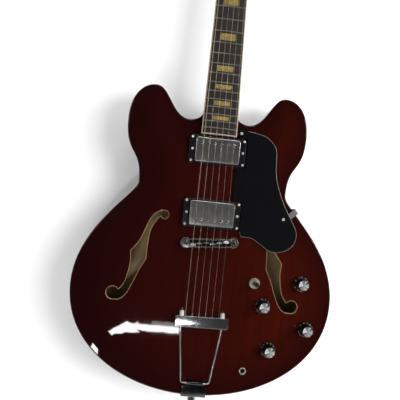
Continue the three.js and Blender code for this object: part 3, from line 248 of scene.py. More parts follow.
def addTube(points, radius, sides):
    clearSelection()
    bpy.ops.curve.primitive_nurbs_path_add()
    tube = bpy.context.active_object.data
    tube.splines.clear()
    spline = tube.splines.new("POLY")
    spline.points.add(len(points) - 1)
    for place, point in zip(spline.points, points):
        place.co = (*point, 1)
    tube.dimensions = "3D"
    tube.twist_mode = "MINIMUM"
    tube.bevel_depth = radius
    tube.bevel_resolution = max(sides // 2 - 2, 0) // 2
    tube.use_fill_caps = True
    bpy.ops.object.convert(target="MESH")
    return faceOut(bpy.context.active_object)


def roundedCorners(halfX, halfY, corner, steps=6, x=0.0, y=0.0):
    points = []
    for turn, (sx, sy) in enumerate([(1, 1), (-1, 1), (-1, -1), (1, -1)]):
        for i in range(steps + 1):
            angle = (turn + i / steps) * math.pi / 2
            points.append((x + sx * (halfX - corner) + corner * math.cos(angle),
                           y + sy * (halfY - corner) + corner * math.sin(angle)))
    return points


def smoothLine(points, steps, sharp=(), closed=True):
    # a rounded line through points; those named sharp stay corners
    spots = [Vector(point) for point in points]
    last = len(spots) - 1
    line = []
    for i in range(last + closed):
        near = [(i + k) % (last + 1) if closed else min(max(i + k, 0), last) for k in (-1, 0, 1, 2)]
        before, start, end, after = [spots[k] for k in near]
        leave = Vector((0, 0)) if i in sharp else (end - before) / 2
        arrive = Vector((0, 0)) if near[2] in sharp else (after - start) / 2
        for k in range(steps):
            t = k / steps
            line.append(start * (2 * t**3 - 3 * t**2 + 1) + leave * (t**3 - 2 * t**2 + t)
                        + end * (3 * t**2 - 2 * t**3) + arrive * (t**3 - t**2))
    if not closed:
        line.append(spots[-1])
    return [tuple(point) for point in line]


def copyOf(piece, place=Matrix()):
    twin = piece.copy()
    twin.data = piece.data.copy()
    twin.data.transform(place)
    bpy.context.collection.objects.link(twin)
    return twin


def smoothBy(piece, angle):
    pick(piece)
    bpy.ops.object.shade_smooth_by_angle(angle=math.radians(angle))


def dress(piece, *materials, smooth=35):
    for material in materials:
        piece.data.materials.append(material)
    if smooth:
        smoothBy(piece, smooth)
    return piece


def settle(piece, node, place=bodyFrame, rides="body", name=None):
    # set in its frame, on its body, in place of its node and named after it;
    # a piece with no node of its own is only named
    pick(piece)
    bpy.ops.object.transform_apply(location=True, rotation=True, scale=True)
    piece.data.transform(place)
    if not name:
        first, *rest = node.split("_")
        name = first + "".join(word.title() for word in rest)
    piece.name = piece.data.name = name
    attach(piece, rides)
    if node:
        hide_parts(node)


# Finishes

def linear(hexColour):
    parts = [int(hexColour[i:i + 2], 16) / 255 for i in (1, 3, 5)]
    return [c / 12.92 if c <= 0.04045 else ((c + 0.055) / 1.055) ** 2.4 for c in parts] + [1.0]


def addNode(tree, kind, links=None, **settings):
    node = tree.nodes.new("ShaderNode" + kind)
    for name, value in settings.items():
        setattr(node, name, value)
    for name, value in (links or {}).items():
        socket = node.inputs[name]
        if isinstance(value, bpy.types.NodeSocket):
            tree.links.new(value, socket)
        else:
            socket.default_value = value
    return node


def newMaterial(name, **surface):
    # a material with its shader's own values set; nodes are linked to it afterwards
    material = bpy.data.materials.new(name)
    material.use_nodes = True
    shader = material.node_tree.nodes["Principled BSDF"]
    for socket, value in surface.items():
        shader.inputs[socket.replace("_", " ")].default_value = value
    return material, material.node_tree, shader


def objectPlace(tree):
    return addNode(tree, "TexCoord").outputs["Object"]


def alongAxis(tree, axis):
    return addNode(tree, "SeparateXYZ", {0: objectPlace(tree)}).outputs[axis]


def mapped(tree, scale=(1, 1, 1)):
    # object coordinates in metres times a scale, which sets the pattern's real size
    return addNode(tree, "Mapping", {"Vector": objectPlace(tree), "Scale": scale}).outputs["Vector"]


def noiseOf(tree, size, detail, rough=0.5, scale=(1, 1, 1)):
    return addNode(tree, "TexNoise", {"Vector": mapped(tree, scale), "Scale": size, "Detail": detail,
                                      "Roughness": rough}).outputs["Fac"]


def ranged(tree, value, fromLow, fromHigh, low, high):
    return addNode(tree, "MapRange", {"Value": value, "From Min": fromLow, "From Max": fromHigh,
                                      "To Min": low, "To Max": high}).outputs["Result"]


def mixed(tree, share, first, second):
    return addNode(tree, "Mix", {0: share, 6: first, 7: second}, data_type="RGBA").outputs[2]


def maths(tree, operation, first, second):
    return addNode(tree, "Math", {0: first, 1: second}, operation=operation).outputs[0]


def ramp(tree, value, stops):
    node = addNode(tree, "ValToRGB", {"Fac": value})
    colours = node.color_ramp.elements
    while len(colours) < len(stops):
        colours.new(0.5)
    for place, (at, colour) in zip(colours, stops):
        place.position = at
        place.color = linear(colour)
    return node.outputs["Color"]


def tint(tree, shader, value, stops):
    shade = ramp(tree, value, stops)
    tree.links.new(shade, shader.inputs["Base Color"])
    return shade


def wear(tree, shader, pattern, low, high):
    # the middle of a 0..1 pattern turned to a range of roughness
    tree.links.new(ranged(tree, pattern, 0.3, 0.7, low, high), shader.inputs["Roughness"])


def bumpFrom(tree, shader, height, depth, strength, socket="Normal"):
    bump = addNode(tree, "Bump", {"Height": height, "Distance": depth, "Strength": strength})
    tree.links.new(bump.outputs["Normal"], shader.inputs[socket])


def makeLacquer(name, middle, edge, paintedShadeColour, burst=True):
    # nitrocellulose lacquer over maple ply: deep gloss, wine red, darker toward the edge, with painted shade
    # that darkens its left side as if lit from the right
    material, tree, shader = newMaterial(name, Roughness=0.45, IOR=1.5, Coat_Weight=1.0, Coat_Roughness=0.03,
                                         Coat_IOR=1.5, Specular_IOR_Level=0.0)
    streak = ranged(tree, noiseOf(tree, 3.0, 5, 0.55, (60, 60, 3)), 0.35, 0.75, 0.0, 0.55)
    if burst:
        share = addNode(tree, "Attribute", attribute_name="burst").outputs["Fac"]
    else:
        share = noiseOf(tree, 12, 2)
    # painted shade: the colour runs from a shaded tone on the left to the lit tone on the right
    paintedLightShare = ranged(tree, alongAxis(tree, "X"), -0.18, 0.12, 0.0, 1.0)
    shade = ramp(tree, share, [(0.0, edge), (0.75, middle), (1.0, middle)])
    fade = mixed(tree, paintedLightShare, linear(paintedShadeColour), shade)
    tree.links.new(mixed(tree, streak, fade, linear(edge)), shader.inputs["Base Color"])
    wear(tree, shader, noiseOf(tree, 90, 3), 0.4, 0.5)
    # the coat is buffed; a slow ripple is left
    bumpFrom(tree, shader, noiseOf(tree, 90, 1), 0.00002, 0.4, "Coat Normal")
    return material


def makeWood(name, pale, dark, rough, grainScale, pore=0.00004, paintedShade=None):
    # sawn wood: streaks along the grain with darker pores between them
    material, tree, shader = newMaterial(name, Roughness=rough, IOR=1.5)
    streaks = noiseOf(tree, grainScale, 8, 0.65, (260, 260, 9))
    shade = tint(tree, shader, streaks, [(0.28, dark), (0.5, pale), (0.72, pale)])
    if paintedShade:    # painted shade: the hollow inside is painted darker toward the tail, where it lies in shade
        depth = ranged(tree, alongAxis(tree, "Z"), *paintedShade, 0.88, 0.0)
        tree.links.new(mixed(tree, depth, shade, linear("#1c1208")), shader.inputs["Base Color"])
    wear(tree, shader, streaks, rough + 0.12, rough - 0.1)
    bumpFrom(tree, shader, streaks, pore, 0.8)
    return material


def makeMetal(name, colour, rough, scratch, cloud, bare=1.0):
    # plated or drawn metal: wear in its roughness, faint clouding in its colour
    material, tree, shader = newMaterial(name, Metallic=bare, Roughness=rough)
    tint(tree, shader, noiseOf(tree, 60, 4), [(0.35, cloud), (0.6, colour)])
    wear(tree, shader, noiseOf(tree, 110, 6), rough - scratch, rough + scratch)
    return material


def makePlastic(name, colour, rough, other, coat=0.0, shine=0.5):
    # moulded plastic: a soft even gloss with handling marks
    material, tree, shader = newMaterial(name, Roughness=rough, IOR=1.49, Coat_Weight=coat,
                                         Coat_Roughness=0.08, Specular_IOR_Level=shine)
    marks = noiseOf(tree, 220, 5)
    tint(tree, shader, marks, [(0.35, other), (0.65, colour)])
    wear(tree, shader, marks, rough - 0.05, rough + 0.08)
    bumpFrom(tree, shader, marks, 0.000004, 0.5)
    return material


def makePearl(name, pale, dark):
    # celluloid pearloid: cloudy swirls with a low sheen
    material, tree, shader = newMaterial(name, Roughness=0.2, IOR=1.5, Coat_Weight=0.4)
    swirl = addNode(tree, "TexVoronoi", {"Vector": mapped(tree), "Scale": 260.0},
                    feature="SMOOTH_F1").outputs["Distance"]
    tint(tree, shader, swirl, [(0.15, pale), (0.75, dark)])
    wear(tree, shader, swirl, 0.14, 0.3)
    return material


def makeWound(name, colour, valley):
    # nickel wound over a core; the wraps are drawn 1.2 mm apart, coarse enough to show
    material, tree, shader = newMaterial(name, Metallic=1.0, Roughness=0.38)
    wraps = addNode(tree, "TexWave", {"Vector": mapped(tree), "Scale": 260.0, "Distortion": 0.0},
                    wave_type="BANDS", bands_direction="Z").outputs["Fac"]
    tint(tree, shader, wraps, [(0.1, valley), (0.6, colour)])
    bumpFrom(tree, shader, wraps, 0.00006, 0.7)
    return material


def makeSpun(name, colour):
    # aluminium cap turned on a lathe: rings of fine grooves draw the light into rays, and painted highlight
    # rays in its colour add to them
    material, tree, shader = newMaterial(name, Metallic=0.65, Roughness=0.5, Anisotropic=1.0)
    tangent = addNode(tree, "Tangent", direction_type="RADIAL", axis="Y")
    tree.links.new(tangent.outputs["Tangent"], shader.inputs["Tangent"])
    centred = addNode(tree, "Mapping", {
        "Vector": addNode(tree, "TexCoord").outputs["Generated"],
        "Location": (-0.5, 0.5, 0), "Rotation": (math.pi / 2, 0, 0)}, vector_type="POINT")
    angle = addNode(tree, "TexGradient", {"Vector": centred.outputs["Vector"]}, gradient_type="RADIAL")
    around = maths(tree, "MULTIPLY", angle.outputs["Fac"], 14.0)
    rays = addNode(tree, "TexNoise", {"W": around, "Scale": 1.0, "Detail": 2.0}, noise_dimensions="1D")
    # painted highlight: grey and white rays round the centre are painted into the colour
    tint(tree, shader, rays.outputs["Fac"], [(0.38, colour), (0.53, "#a4a4a8"), (0.61, "#ffffff")])
    wear(tree, shader, noiseOf(tree, 900, 3), 0.44, 0.56)
    return material


lacquer = makeLacquer("wineRedLacquer", "#340a03", "#1d0403", "#1a0305")
neckLacquer = makeLacquer("neckLacquer", "#360a04", "#220504", "#2a0605", burst=False)
maple = makeWood("bareMaplePly", "#a5845a", "#856640", 0.68, 2.0)
# the inner maple carries painted shade, darker toward the tail end of the hollow body
innerMapleWithPaintedShade = makeWood("unfinishedInnerMapleWithPaintedShade", "#c8ad80", "#987f56", 0.75, 2.0, paintedShade=(-0.746, -0.69))
rosewood = makeWood("rosewood", "#221b16", "#100c0a", 0.62, 2.4, 0.00008)
creamBinding = makePlastic("creamCelluloid", "#a39b84", 0.4, "#948b72")
boneNut = makePlastic("bone", "#e6dcc0", 0.4, "#d8caa4")
blackPlastic = makePlastic("blackStyrene", "#08080a", 0.34, "#0d0d0f")
guardPlastic = makePlastic("blackGuardLaminate", "#09090b", 0.16, "#0b0b0e")
guardEdge = makePlastic("paleGuardPly", "#85807a", 0.4, "#78736d")
numeralPaint = makePlastic("whiteFilledNumeral", "#a9a8a4", 0.6, "#8f8e8a")
knobPlastic = makePlastic("blackKnobPlastic", "#040405", 0.24, "#060607", shine=0.22)
leverPlastic = makePlastic("blackTipPlastic", "#0a0a0b", 0.2, "#101012", 0.5)
pearl = makePearl("agedPearloid", "#8e7e48", "#655a34")
buttonPearl = makePearl("buttonPearloid", "#dcd6c0", "#b8b095")
nickel = makeMetal("nickelPlate", "#cbc9c5", 0.16, 0.04, "#bfbcb6")
coverNickel = makeMetal("pickupCoverNickel", "#cfcfcf", 0.32, 0.03, "#c4c4c3")
chrome = makeMetal("chromePlate", "#dcdde0", 0.06, 0.02, "#d3d4d8")
softChrome = makeMetal("wornChromePlate", "#dadbde", 0.17, 0.02, "#d0d1d5")
darkScrew = makeMetal("screwSteel", "#d8d6d2", 0.3, 0.06, "#b5b2ac", 0.45)
dullNickel = makeMetal("dullNickel", "#a09e9a", 0.24, 0.06, "#7e7c77", 0.94)
washerNickel = makeMetal("yellowedNickel", "#aaa493", 0.4, 0.06, "#8a8474", 0.7)
brushedSteel = makeMetal("brushedSteel", "#8b8b89", 0.42, 0.06, "#767674", 0.6)
# painted shade: chrome painted dark, for the inside of the bridge's channel and the tailpiece hinge
paintedShadeChrome = makeMetal("shadedChrome", "#55565a", 0.2, 0.04, "#48494c")
bareSteel = makeMetal("cadmiumSteel", "#a8a59a", 0.38, 0.08, "#8d8a7e")
fretWire = makeMetal("fretWire", "#94918b", 0.4, 0.05, "#827f78")
spunCapWithPaintedRays = makeSpun("spunAluminiumWithPaintedRays", "#4c4c50")
woundString = makeWound("nickelWound", "#c4ada1", "#8c796e")
plainString = makeMetal("plainSteelString", "#e6d6cb", 0.42, 0.05, "#cbbaae")

# The pieces inside the body stay as the CAD made them
for node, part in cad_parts.items():
    if node in ("centre_block", "truss_rod") or node.startswith("pot_"):
        for materialSlot in part.material_slots:
            materialSlot.material = maple if node == "centre_block" else bareSteel
print("stage: finishes made")


# Body outline and arch

bodyPlan = {
    "stations": [
        ((0, -246.5), (-114.4, -246.5), (114.4, -246.5)),
        ((208, -87), (208, -181.1), (208, 5.95)),
        ((118.2, 82), (118.2, 61.72), (118.2, 136.45)),
        ((144.3, 181), (144.3, 119.62), (144.3, 212.92)),
        ((104.5, 238), (129.18, 238), (82.27, 238)),
        ((47.5, 189), (76.57, 189), (37.35, 189)),
        ((27.2, 203), (27.2, 194.6), (18, 203)),
    ],
    "centre": (0, 60), "steps": 30, "rimDepth": 44.5, "plate": 4.8, "wall": 4.2,
    "arch": 12.0, "backArch": 11.0, "reach": 72.0, "power": 1.4, "edge": 2.6, "burstReach": 95,
    "ridgeStart": 6, "ridgeSpan": 14, "ridgeGain": 1.1, "batch": 4000, "slopeStep": 0.04,
    "lineSum": 1.3333, "sheetReach": 1.2, "edgeReach": 0.15, "wallReach": 0.1, "flat": 0.9,
    "shares": [0.9994, 0.9982, 0.9965, 0.994, 0.990, 0.984, 0.975, 0.963, 0.948, 0.93, 0.908,
               0.882, 0.852, 0.818, 0.78, 0.738, 0.69, 0.636, 0.575, 0.506, 0.428, 0.34, 0.24,
               0.13],
}


def outlineLoop():
    # the closed outline as a loop of edges; each station is a point with its two handles
    right = bodyPlan["stations"]
    left = [[(-x, y) for x, y in (point, out, into)] for point, into, out in reversed(right[1:])]
    clearSelection()
    bpy.ops.curve.primitive_bezier_circle_add()
    curve = bpy.context.active_object.data
    curve.dimensions = "3D"
    curve.fill_mode = "FULL"
    curve.resolution_u = bodyPlan["steps"]
    spline = curve.splines[0]
    spline.bezier_points.add(len(right + left) - len(spline.bezier_points))
    for place, (point, before, after) in zip(spline.bezier_points, right + left):
        place.handle_left_type = place.handle_right_type = "FREE"
        place.co = (*point, 0)
        place.handle_left = (*before, 0)
        place.handle_right = (*after, 0)
    bpy.ops.object.convert(target="MESH")
    return bpy.context.active_object


def flatCoordinates(mesh):
    flat = np.empty(len(mesh.vertices) * 3)
    mesh.vertices.foreach_get("co", flat)
    return flat.reshape(-1, 3)


loopForShape = outlineLoop()
outline = flatCoordinates(loopForShape.data)[:, :2]
bpy.data.objects.remove(loopForShape)
outlineStep = np.roll(outline, -1, axis=0) - outline
outlineSize = np.maximum(np.hypot(outlineStep[:, 0], outlineStep[:, 1]), 1e-9)


def edgeDistance(points):
    # exact distance to the outline, and one that rounds the ridges where two edges are as near
    exact = np.empty(len(points))
    soft = np.empty(len(points))
    for start in range(0, len(points), bodyPlan["batch"]):
        part = slice(start, start + bodyPlan["batch"])
        away = points[part][:, None, :] - outline[None]
        share = np.clip((away * outlineStep).sum(2) / outlineSize**2, 0, 1)
        gap = away - share[..., None] * outlineStep
        apart = np.maximum(np.hypot(gap[..., 0], gap[..., 1]), 1e-6)
        exact[part] = apart.min(1)
        # a long straight edge sums to 4/3 over the fourth power of its distance
        soft[part] = ((outlineSize / apart**5).sum(1) / bodyPlan["lineSum"]) ** -0.25
    blend = np.clip((exact - bodyPlan["ridgeStart"]) / bodyPlan["ridgeSpan"], 0, 1)
    blend = blend * blend * (3 - 2 * blend)
    return exact, exact + (np.minimum(soft * bodyPlan["ridgeGain"], exact) - exact) * blend


def archShare(distance):
    reach = np.clip(distance / bodyPlan["reach"], 0, 1)
    return np.sin(reach * math.pi / 2) ** bodyPlan["power"]


def roundDrop(exact):
    radius = bodyPlan["edge"]
    inside = np.clip(radius - exact, 0, radius)
    return radius - np.sqrt(radius**2 - inside**2)


def outerHeight(points, height):
    exact, soft = edgeDistance(points)
    return height * archShare(soft) - roundDrop(exact)


def outwardDirections(points):
    # the outline's outward direction at the nearest of its points
    tangent = np.roll(outline, -1, axis=0) - np.roll(outline, 1, axis=0)
    tangent /= np.maximum(np.hypot(tangent[:, 0], tangent[:, 1]), 1e-9)[:, None]
    outward = np.stack([tangent[:, 1], -tangent[:, 0]], axis=1)
    nearest = np.empty(len(points), dtype=int)
    for start in range(0, len(points), bodyPlan["batch"]):
        part = slice(start, start + bodyPlan["batch"])
        nearest[part] = ((points[part][:, None] - outline[None]) ** 2).sum(2).argmin(1)
    return outward[nearest]


def archedPlate(height):
    # rings drawn in from the outline, pulled down to a second sheet, then raised to the arch
    plate = outlineLoop()
    editAll(plate)
    reached = 1.0
    for share in bodyPlan["shares"]:
        bpy.ops.mesh.extrude_edges_move()
        size = share / reached
        bpy.ops.transform.resize(value=(size, size, 1), center_override=(*bodyPlan["centre"], 0))
        reached = share
    bpy.ops.mesh.extrude_edges_move()
    bpy.ops.mesh.merge(type="CENTER")
    turnOut()
    bpy.ops.mesh.extrude_region_move(TRANSFORM_OT_translate={"value": (0, 0, -bodyPlan["plate"])})
    leaveEdit()
    points = flatCoordinates(plate.data)
    exact, soft = edgeDistance(points[:, :2])
    arch = height * archShare(soft)
    points[:, 2] = np.where(points[:, 2] > -1, arch - roundDrop(exact), arch - bodyPlan["plate"])
    plate.data.vertices.foreach_set("co", points.ravel())
    plate.data.update()
    return faceOut(plate)


def polishOuter(plate, height, sign, base):
    # exact normals for the outer sheet and its rounded edge, so that the gloss runs smoothly
    mesh = plate.data
    points = flatCoordinates(mesh)
    flat = points[:, :2]
    away = np.abs((points[:, 2] - base) * sign - outerHeight(flat, height))
    onOuter = away < bodyPlan["sheetReach"]
    exact, soft = edgeDistance(flat)
    step = bodyPlan["slopeStep"]
    slopes = [(outerHeight(flat + move, height) - outerHeight(flat - move, height)) / (2 * step)
              for move in (np.array((step, 0)), np.array((0, step)))]
    normal = np.stack([-slopes[0], -slopes[1], np.full(len(flat), 1.0)], axis=1)
    wall = np.concatenate([outwardDirections(flat), np.zeros((len(flat), 1))], axis=1)
    onEdge = exact < bodyPlan["edgeReach"]
    normal[onEdge] = wall[onEdge]
    normal /= np.linalg.norm(normal, axis=1)[:, None]
    normal[:, 2] *= sign
    custom = np.zeros((len(mesh.loops), 3))
    for face in mesh.polygons:
        corners = list(face.vertices)
        face.material_index = 0
        if exact[corners].max() < bodyPlan["wallReach"]:
            custom[list(face.loop_indices)] = wall[corners]
        elif onOuter[corners].all() and face.normal.z * sign > 0.05:
            custom[list(face.loop_indices)] = normal[corners]
        else:
            face.material_index = 2 if abs(face.normal.z) > bodyPlan["flat"] else 1
    burst = mesh.attributes.new("burst", "FLOAT", "POINT")
    burst.data.foreach_set("value", np.clip(soft / bodyPlan["burstReach"], 0, 1))
    return custom


def finishPlate(plate, custom, node):
    smoothBy(plate, 30)
    settle(plate, node)
    turn = np.array(bodyFrame.to_3x3().normalized())
    plate.data.normals_split_custom_set((custom @ turn.T).tolist())


# F-holes: shares of the width and length between the eyes
fHole = {
    "x": 72.51, "y": 34.0, "width": 68.02, "length": 127.0, "upperEye": 6.8, "lowerEye": 10.3,
    "line": [(0.07, 0.055), (0.24, -0.01), (0.36, -0.13), (0.5, -0.33), (0.69, -0.478), (0.668, -0.6),
             (0.7, -0.74), (0.765, -0.87), (0.885, -0.96), (0.97, -1.074), (0.87, -1.077),
             (0.765, -1.043), (0.67, -0.975), (0.575, -0.86), (0.45, -0.693), (0.325, -0.56),
             (0.31, -0.33), (0.26, -0.17), (0.09, -0.02)],
    "sharp": (0, 4, 8, 9, 15, 18), "ply": 0.3, "xRange": (60, 155), "yRange": (-108, 46),
}

fittings = {
    "pickupY": (140.8, 41.6), "pocketHalf": (35.1, 19.5), "earHalf": (43.0, 5.35),
    "postHole": 2.3, "postX": 37.1, "through": (-20, 30),
    "knobs": {"bass_volume": (153.0, -55.0), "treble_volume": (94.49, -94.51),
              "bass_tone": (166.5, -126.41), "treble_tone": (109.2, -162.2)},
    "potHole": 5.0, "toggle": (78.4, -60.2), "toggleHole": 6.1, "jack": (73.4, -199.49),
    "jackHole": 5.0, "boardEnd": 165.8, "controlReach": 9,
    "neckHalf": 25.8, "neckLow": -60, "neckFar": 260, "topCut": 19, "rimCut": 30, "rimCutFrom": 150,
}


def makeTop():
    top = archedPlate(bodyPlan["arch"])
    through = fittings["through"]
    cutters = [addBox(*fittings["pocketHalf"], *through, 0, y) for y in fittings["pickupY"]]
    for side in (-1, 1):
        x, y, _ = bridgeInBody @ Vector((side * fittings["postX"], 0, 0))
        cutters.append(addPin(fittings["postHole"], x, y, *through, 20))
        line = smoothLine([(side * (fHole["x"] + u * fHole["width"]), fHole["y"] + v * fHole["length"])
                           for u, v in fHole["line"]], 8, fHole["sharp"])
        cutters.append(addPlate(line, *through))
    cutters += [addPin(fittings["potHole"], x, y, *through, 20) for x, y in fittings["knobs"].values()]
    cutters += [addPin(fittings[key + "Hole"], *fittings[key], *through) for key in ("toggle", "jack")]
    cutWith(top, join(cutters))
    second = [addBox(*fittings["earHalf"], *through, 0, y) for y in fittings["pickupY"]]
    for side in (-1, 1):
        x, y = side * fHole["x"], fHole["y"]
        second.append(addPin(fHole["upperEye"], x, y, *through, 40))
        second.append(addPin(fHole["lowerEye"], x + side * fHole["width"], y - fHole["length"], *through, 48))
    neckHalf = fittings["neckHalf"]
    neckPocket = addBlock((-neckHalf, fittings["boardEnd"] - 0.2, fittings["neckLow"]),
                          (neckHalf, fittings["neckFar"], fittings["topCut"]))
    neckPocket.data.transform(neckInBody)
    cutWith(top, join(second + [neckPocket]))
    dress(top, lacquer, maple, innerMapleWithPaintedShade, smooth=0)
    custom = polishOuter(top, bodyPlan["arch"], 1, 0.0)
    makeHoleEdges(top)
    finishPlate(top, custom, "body_top")


def middleOf(mesh, edge):
    return (mesh.vertices[edge.vertices[0]].co + mesh.vertices[edge.vertices[1]].co) / 2


def makeHoleEdges(top):
    # the bare edge of the ply that shows round each f-hole where the lacquer stops
    rim = copyOf(top)
    editAll(rim)
    bpy.ops.mesh.select_mode(type="EDGE")
    bpy.ops.mesh.select_all(action="DESELECT")
    leaveEdit()
    sheets = {}
    for face in rim.data.polygons:
        for key in face.edge_keys:
            sheets.setdefault(key, set()).add(face.material_index)
    (left, right), (low, high) = fHole["xRange"], fHole["yRange"]
    controlPlaces = [*fittings["knobs"].values(), fittings["toggle"]]
    for edge in rim.data.edges:
        middle = middleOf(rim.data, edge)
        isControl = any(math.dist(middle.xy, place) < fittings["controlReach"] for place in controlPlaces)
        edge.select = (sheets.get(edge.key, set()) == {0, 1} and left < abs(middle.x) < right
                       and low < middle.y < high and not isControl)
    enterEdit()
    bpy.ops.mesh.select_all(action="INVERT")
    bpy.ops.mesh.delete(type="EDGE")
    bpy.ops.mesh.delete_loose(use_verts=True, use_edges=False, use_faces=False)
    leaveEdit()
    bpy.ops.object.convert(target="CURVE")
    rim.data.bevel_depth = fHole["ply"]
    rim.data.bevel_resolution = 1
    bpy.ops.object.convert(target="MESH")
    rim.data.materials.clear()
    faceOut(rim)
    dress(rim, maple, smooth=60)
    settle(rim, None, name="fHoleEdges")


def makeBack():
    back = archedPlate(bodyPlan["backArch"])
    back.data.transform(shifted(0, 0, -bodyPlan["rimDepth"]) @ Matrix.Scale(-1, 4, (0, 0, 1)))
    faceOut(back)
    dress(back, lacquer, maple, innerMapleWithPaintedShade, smooth=0)
    finishPlate(back, polishOuter(back, bodyPlan["backArch"], -1, -bodyPlan["rimDepth"]), "body_back")


def makeRim():
    rim = outlineLoop()
    high, low = -bodyPlan["plate"], -bodyPlan["rimDepth"] + bodyPlan["plate"]
    rim.data.transform(shifted(0, 0, high))
    joinX, joinY = bodyPlan["stations"][-1][0]
    editAll(rim)
    bpy.ops.mesh.select_all(action="DESELECT")
    leaveEdit()
    for edge in rim.data.edges:
        ends = [rim.data.vertices[i].co for i in edge.vertices]
        edge.select = all(abs(p.x) < joinX + 0.01 and p.y > joinY - 0.01 for p in ends)
    enterEdit()
    bpy.ops.mesh.select_mode(type="EDGE")
    bpy.ops.mesh.delete(type="EDGE")
    bpy.ops.mesh.delete_loose(use_verts=True, use_edges=False)
    bpy.ops.mesh.select_all(action="SELECT")
    bpy.ops.mesh.extrude_edges_move(TRANSFORM_OT_translate={"value": (0, 0, low - high)})
    turnOut()
    leaveEdit()
    applyModifier(rim, "SOLIDIFY", thickness=bodyPlan["wall"], offset=-1, use_even_offset=True)
    if edgeDistance(flatCoordinates(rim.data)[:, :2])[0].max() < 1:
        raise ValueError("the rim's wall went outwards")
    faceOut(rim)
    neckHalf = fittings["neckHalf"]
    cutWith(rim, addBlock((-neckHalf, fittings["rimCutFrom"], fittings["neckLow"]),
                          (neckHalf, fittings["neckFar"], fittings["rimCut"])))
    if not rim.data.polygons:
        raise ValueError("the rim was lost")
    dress(rim, lacquer, innerMapleWithPaintedShade, smooth=40)
    exact = edgeDistance(flatCoordinates(rim.data)[:, :2])[0]
    for face in rim.data.polygons:
        face.material_index = 0 if exact[list(face.vertices)].max() < bodyPlan["wallReach"] else 1
    rim.data.attributes.new("burst", "FLOAT", "POINT")
    settle(rim, "body_rim")


makeTop()
makeBack()
makeRim()
print("stage: body made")


# Neck and headstock

neckPlan = {
    "scale": 628.0, "join": 203.0, "depthAtNut": 14.5, "depthAtHeel": 18.0, "heelDepth": 49.0,
    "heelLength": 44.0, "heelFlat": 18.0, "heelPower": 2.2, "sidePower": 0.72, "backPower": 0.82,
    "boardAtNut": 43.0, "boardAtEnd": 56.2, "boardEnd": 165.8, "tenonHalf": 25.5, "tenonDepth": 40.0,
    "headThickness": 14.5, "headLength": 176.0, "halfAtNut": 22.0, "halfLow": 36.0, "halfTop": 39.0,
    "flare": 34.0, "crown": 9.0, "corner": 8.0, "sides": 22, "jointGap": 1.2, "heelRings": 15,
    "throat": 5, "throatRings": (6, 13, 20, 26), "headSink": 0.6, "tenonReach": 11,
    "heelCut": ((-120, 100, -130), (120, 60)), "heelCutGap": 0.3,
}


def boardHalf(y):
    plan = neckPlan
    share = (plan["scale"] - y) / (plan["scale"] - plan["boardEnd"])
    return (plan["boardAtNut"] + (plan["boardAtEnd"] - plan["boardAtNut"]) * share) / 2


def fretY(number):
    return neckPlan["scale"] * 2 ** (-number / 12)


def neckDepth(y):
    plan = neckPlan
    share = (plan["scale"] - y) / (plan["scale"] - plan["join"])
    plain = plan["depthAtNut"] + (plan["depthAtHeel"] - plan["depthAtNut"]) * share
    heel = min(max((plan["join"] + plan["heelLength"] - y) / (plan["heelLength"] - plan["heelFlat"]), 0), 1)
    return plain + (plan["heelDepth"] - plain) * heel ** plan["heelPower"]


def neckRing(y, half, depth, drop=0.0):
    points = []
    for i in range(neckPlan["sides"] + 1):
        angle = math.pi * i / neckPlan["sides"]
        side = math.copysign(abs(math.cos(angle)) ** neckPlan["sidePower"], math.cos(angle))
        down = math.sin(angle) if 0 < i < neckPlan["sides"] else 0.0
        points.append((side * half, y, -drop - depth * down ** neckPlan["backPower"]))
    return points


def bend(points, steps=10):
    # a Bezier line without its last point
    line = []
    for i in range(steps):
        level = [Vector(p) for p in points]
        while len(level) > 1:
            level = [a.lerp(b, i / steps) for a, b in zip(level, level[1:])]
        line.append(level[0])
    return line


def headLine():
    plan = neckPlan
    nutHalf, low, top, flare = plan["halfAtNut"], plan["halfLow"], plan["halfTop"], plan["flare"]
    crownY, corner = plan["headLength"] - plan["crown"], plan["corner"]
    right = bend([(nutHalf, 0), (nutHalf, flare / 2), (low, flare / 2), (low, flare)])
    right += [Vector((low, flare))]
    right += bend([(top, crownY - corner), (top, crownY), (top - corner, crownY)], 6)
    right += bend([(top - corner, crownY), (nutHalf, crownY), (0, plan["headLength"])])
    left = [Vector((-p.x, p.y)) for p in reversed(right)]
    return [tuple(p) for p in right + [Vector((0, plan["headLength"]))] + left]


tuners = {"x": 24.5, "first": 44.0, "spacing": 41.008, "plateHalf": 8.5, "plateThickness": 1.2,
          "margin": 12.0, "housing": (7.0, 10.5, 10.0), "post": 3.1, "waist": 2.6, "shaft": 1.8,
          "reach": 14.0, "gap": 0.3, "buttonLength": 16.0, "buttonHalf": 9.3, "buttonThick": 3.4,
          "wrapHeight": 10.0, "play": 0.35, "wellDepth": 7.3, "lobes": 0.42, "slot": (0.5, 9, 14.6, 20),
          "ferrule": [(3.5, 0.1), (5.4, 0.1), (5.4, 0.9), (4.6, 1.6), (3.6, 1.9), (3.5, 0.1)]}


def tunerPlace(string):
    side = -1 if string < 3 else 1
    rank = string if string < 3 else 5 - string
    return side, side * tuners["x"], tuners["first"] + rank * tuners["spacing"]


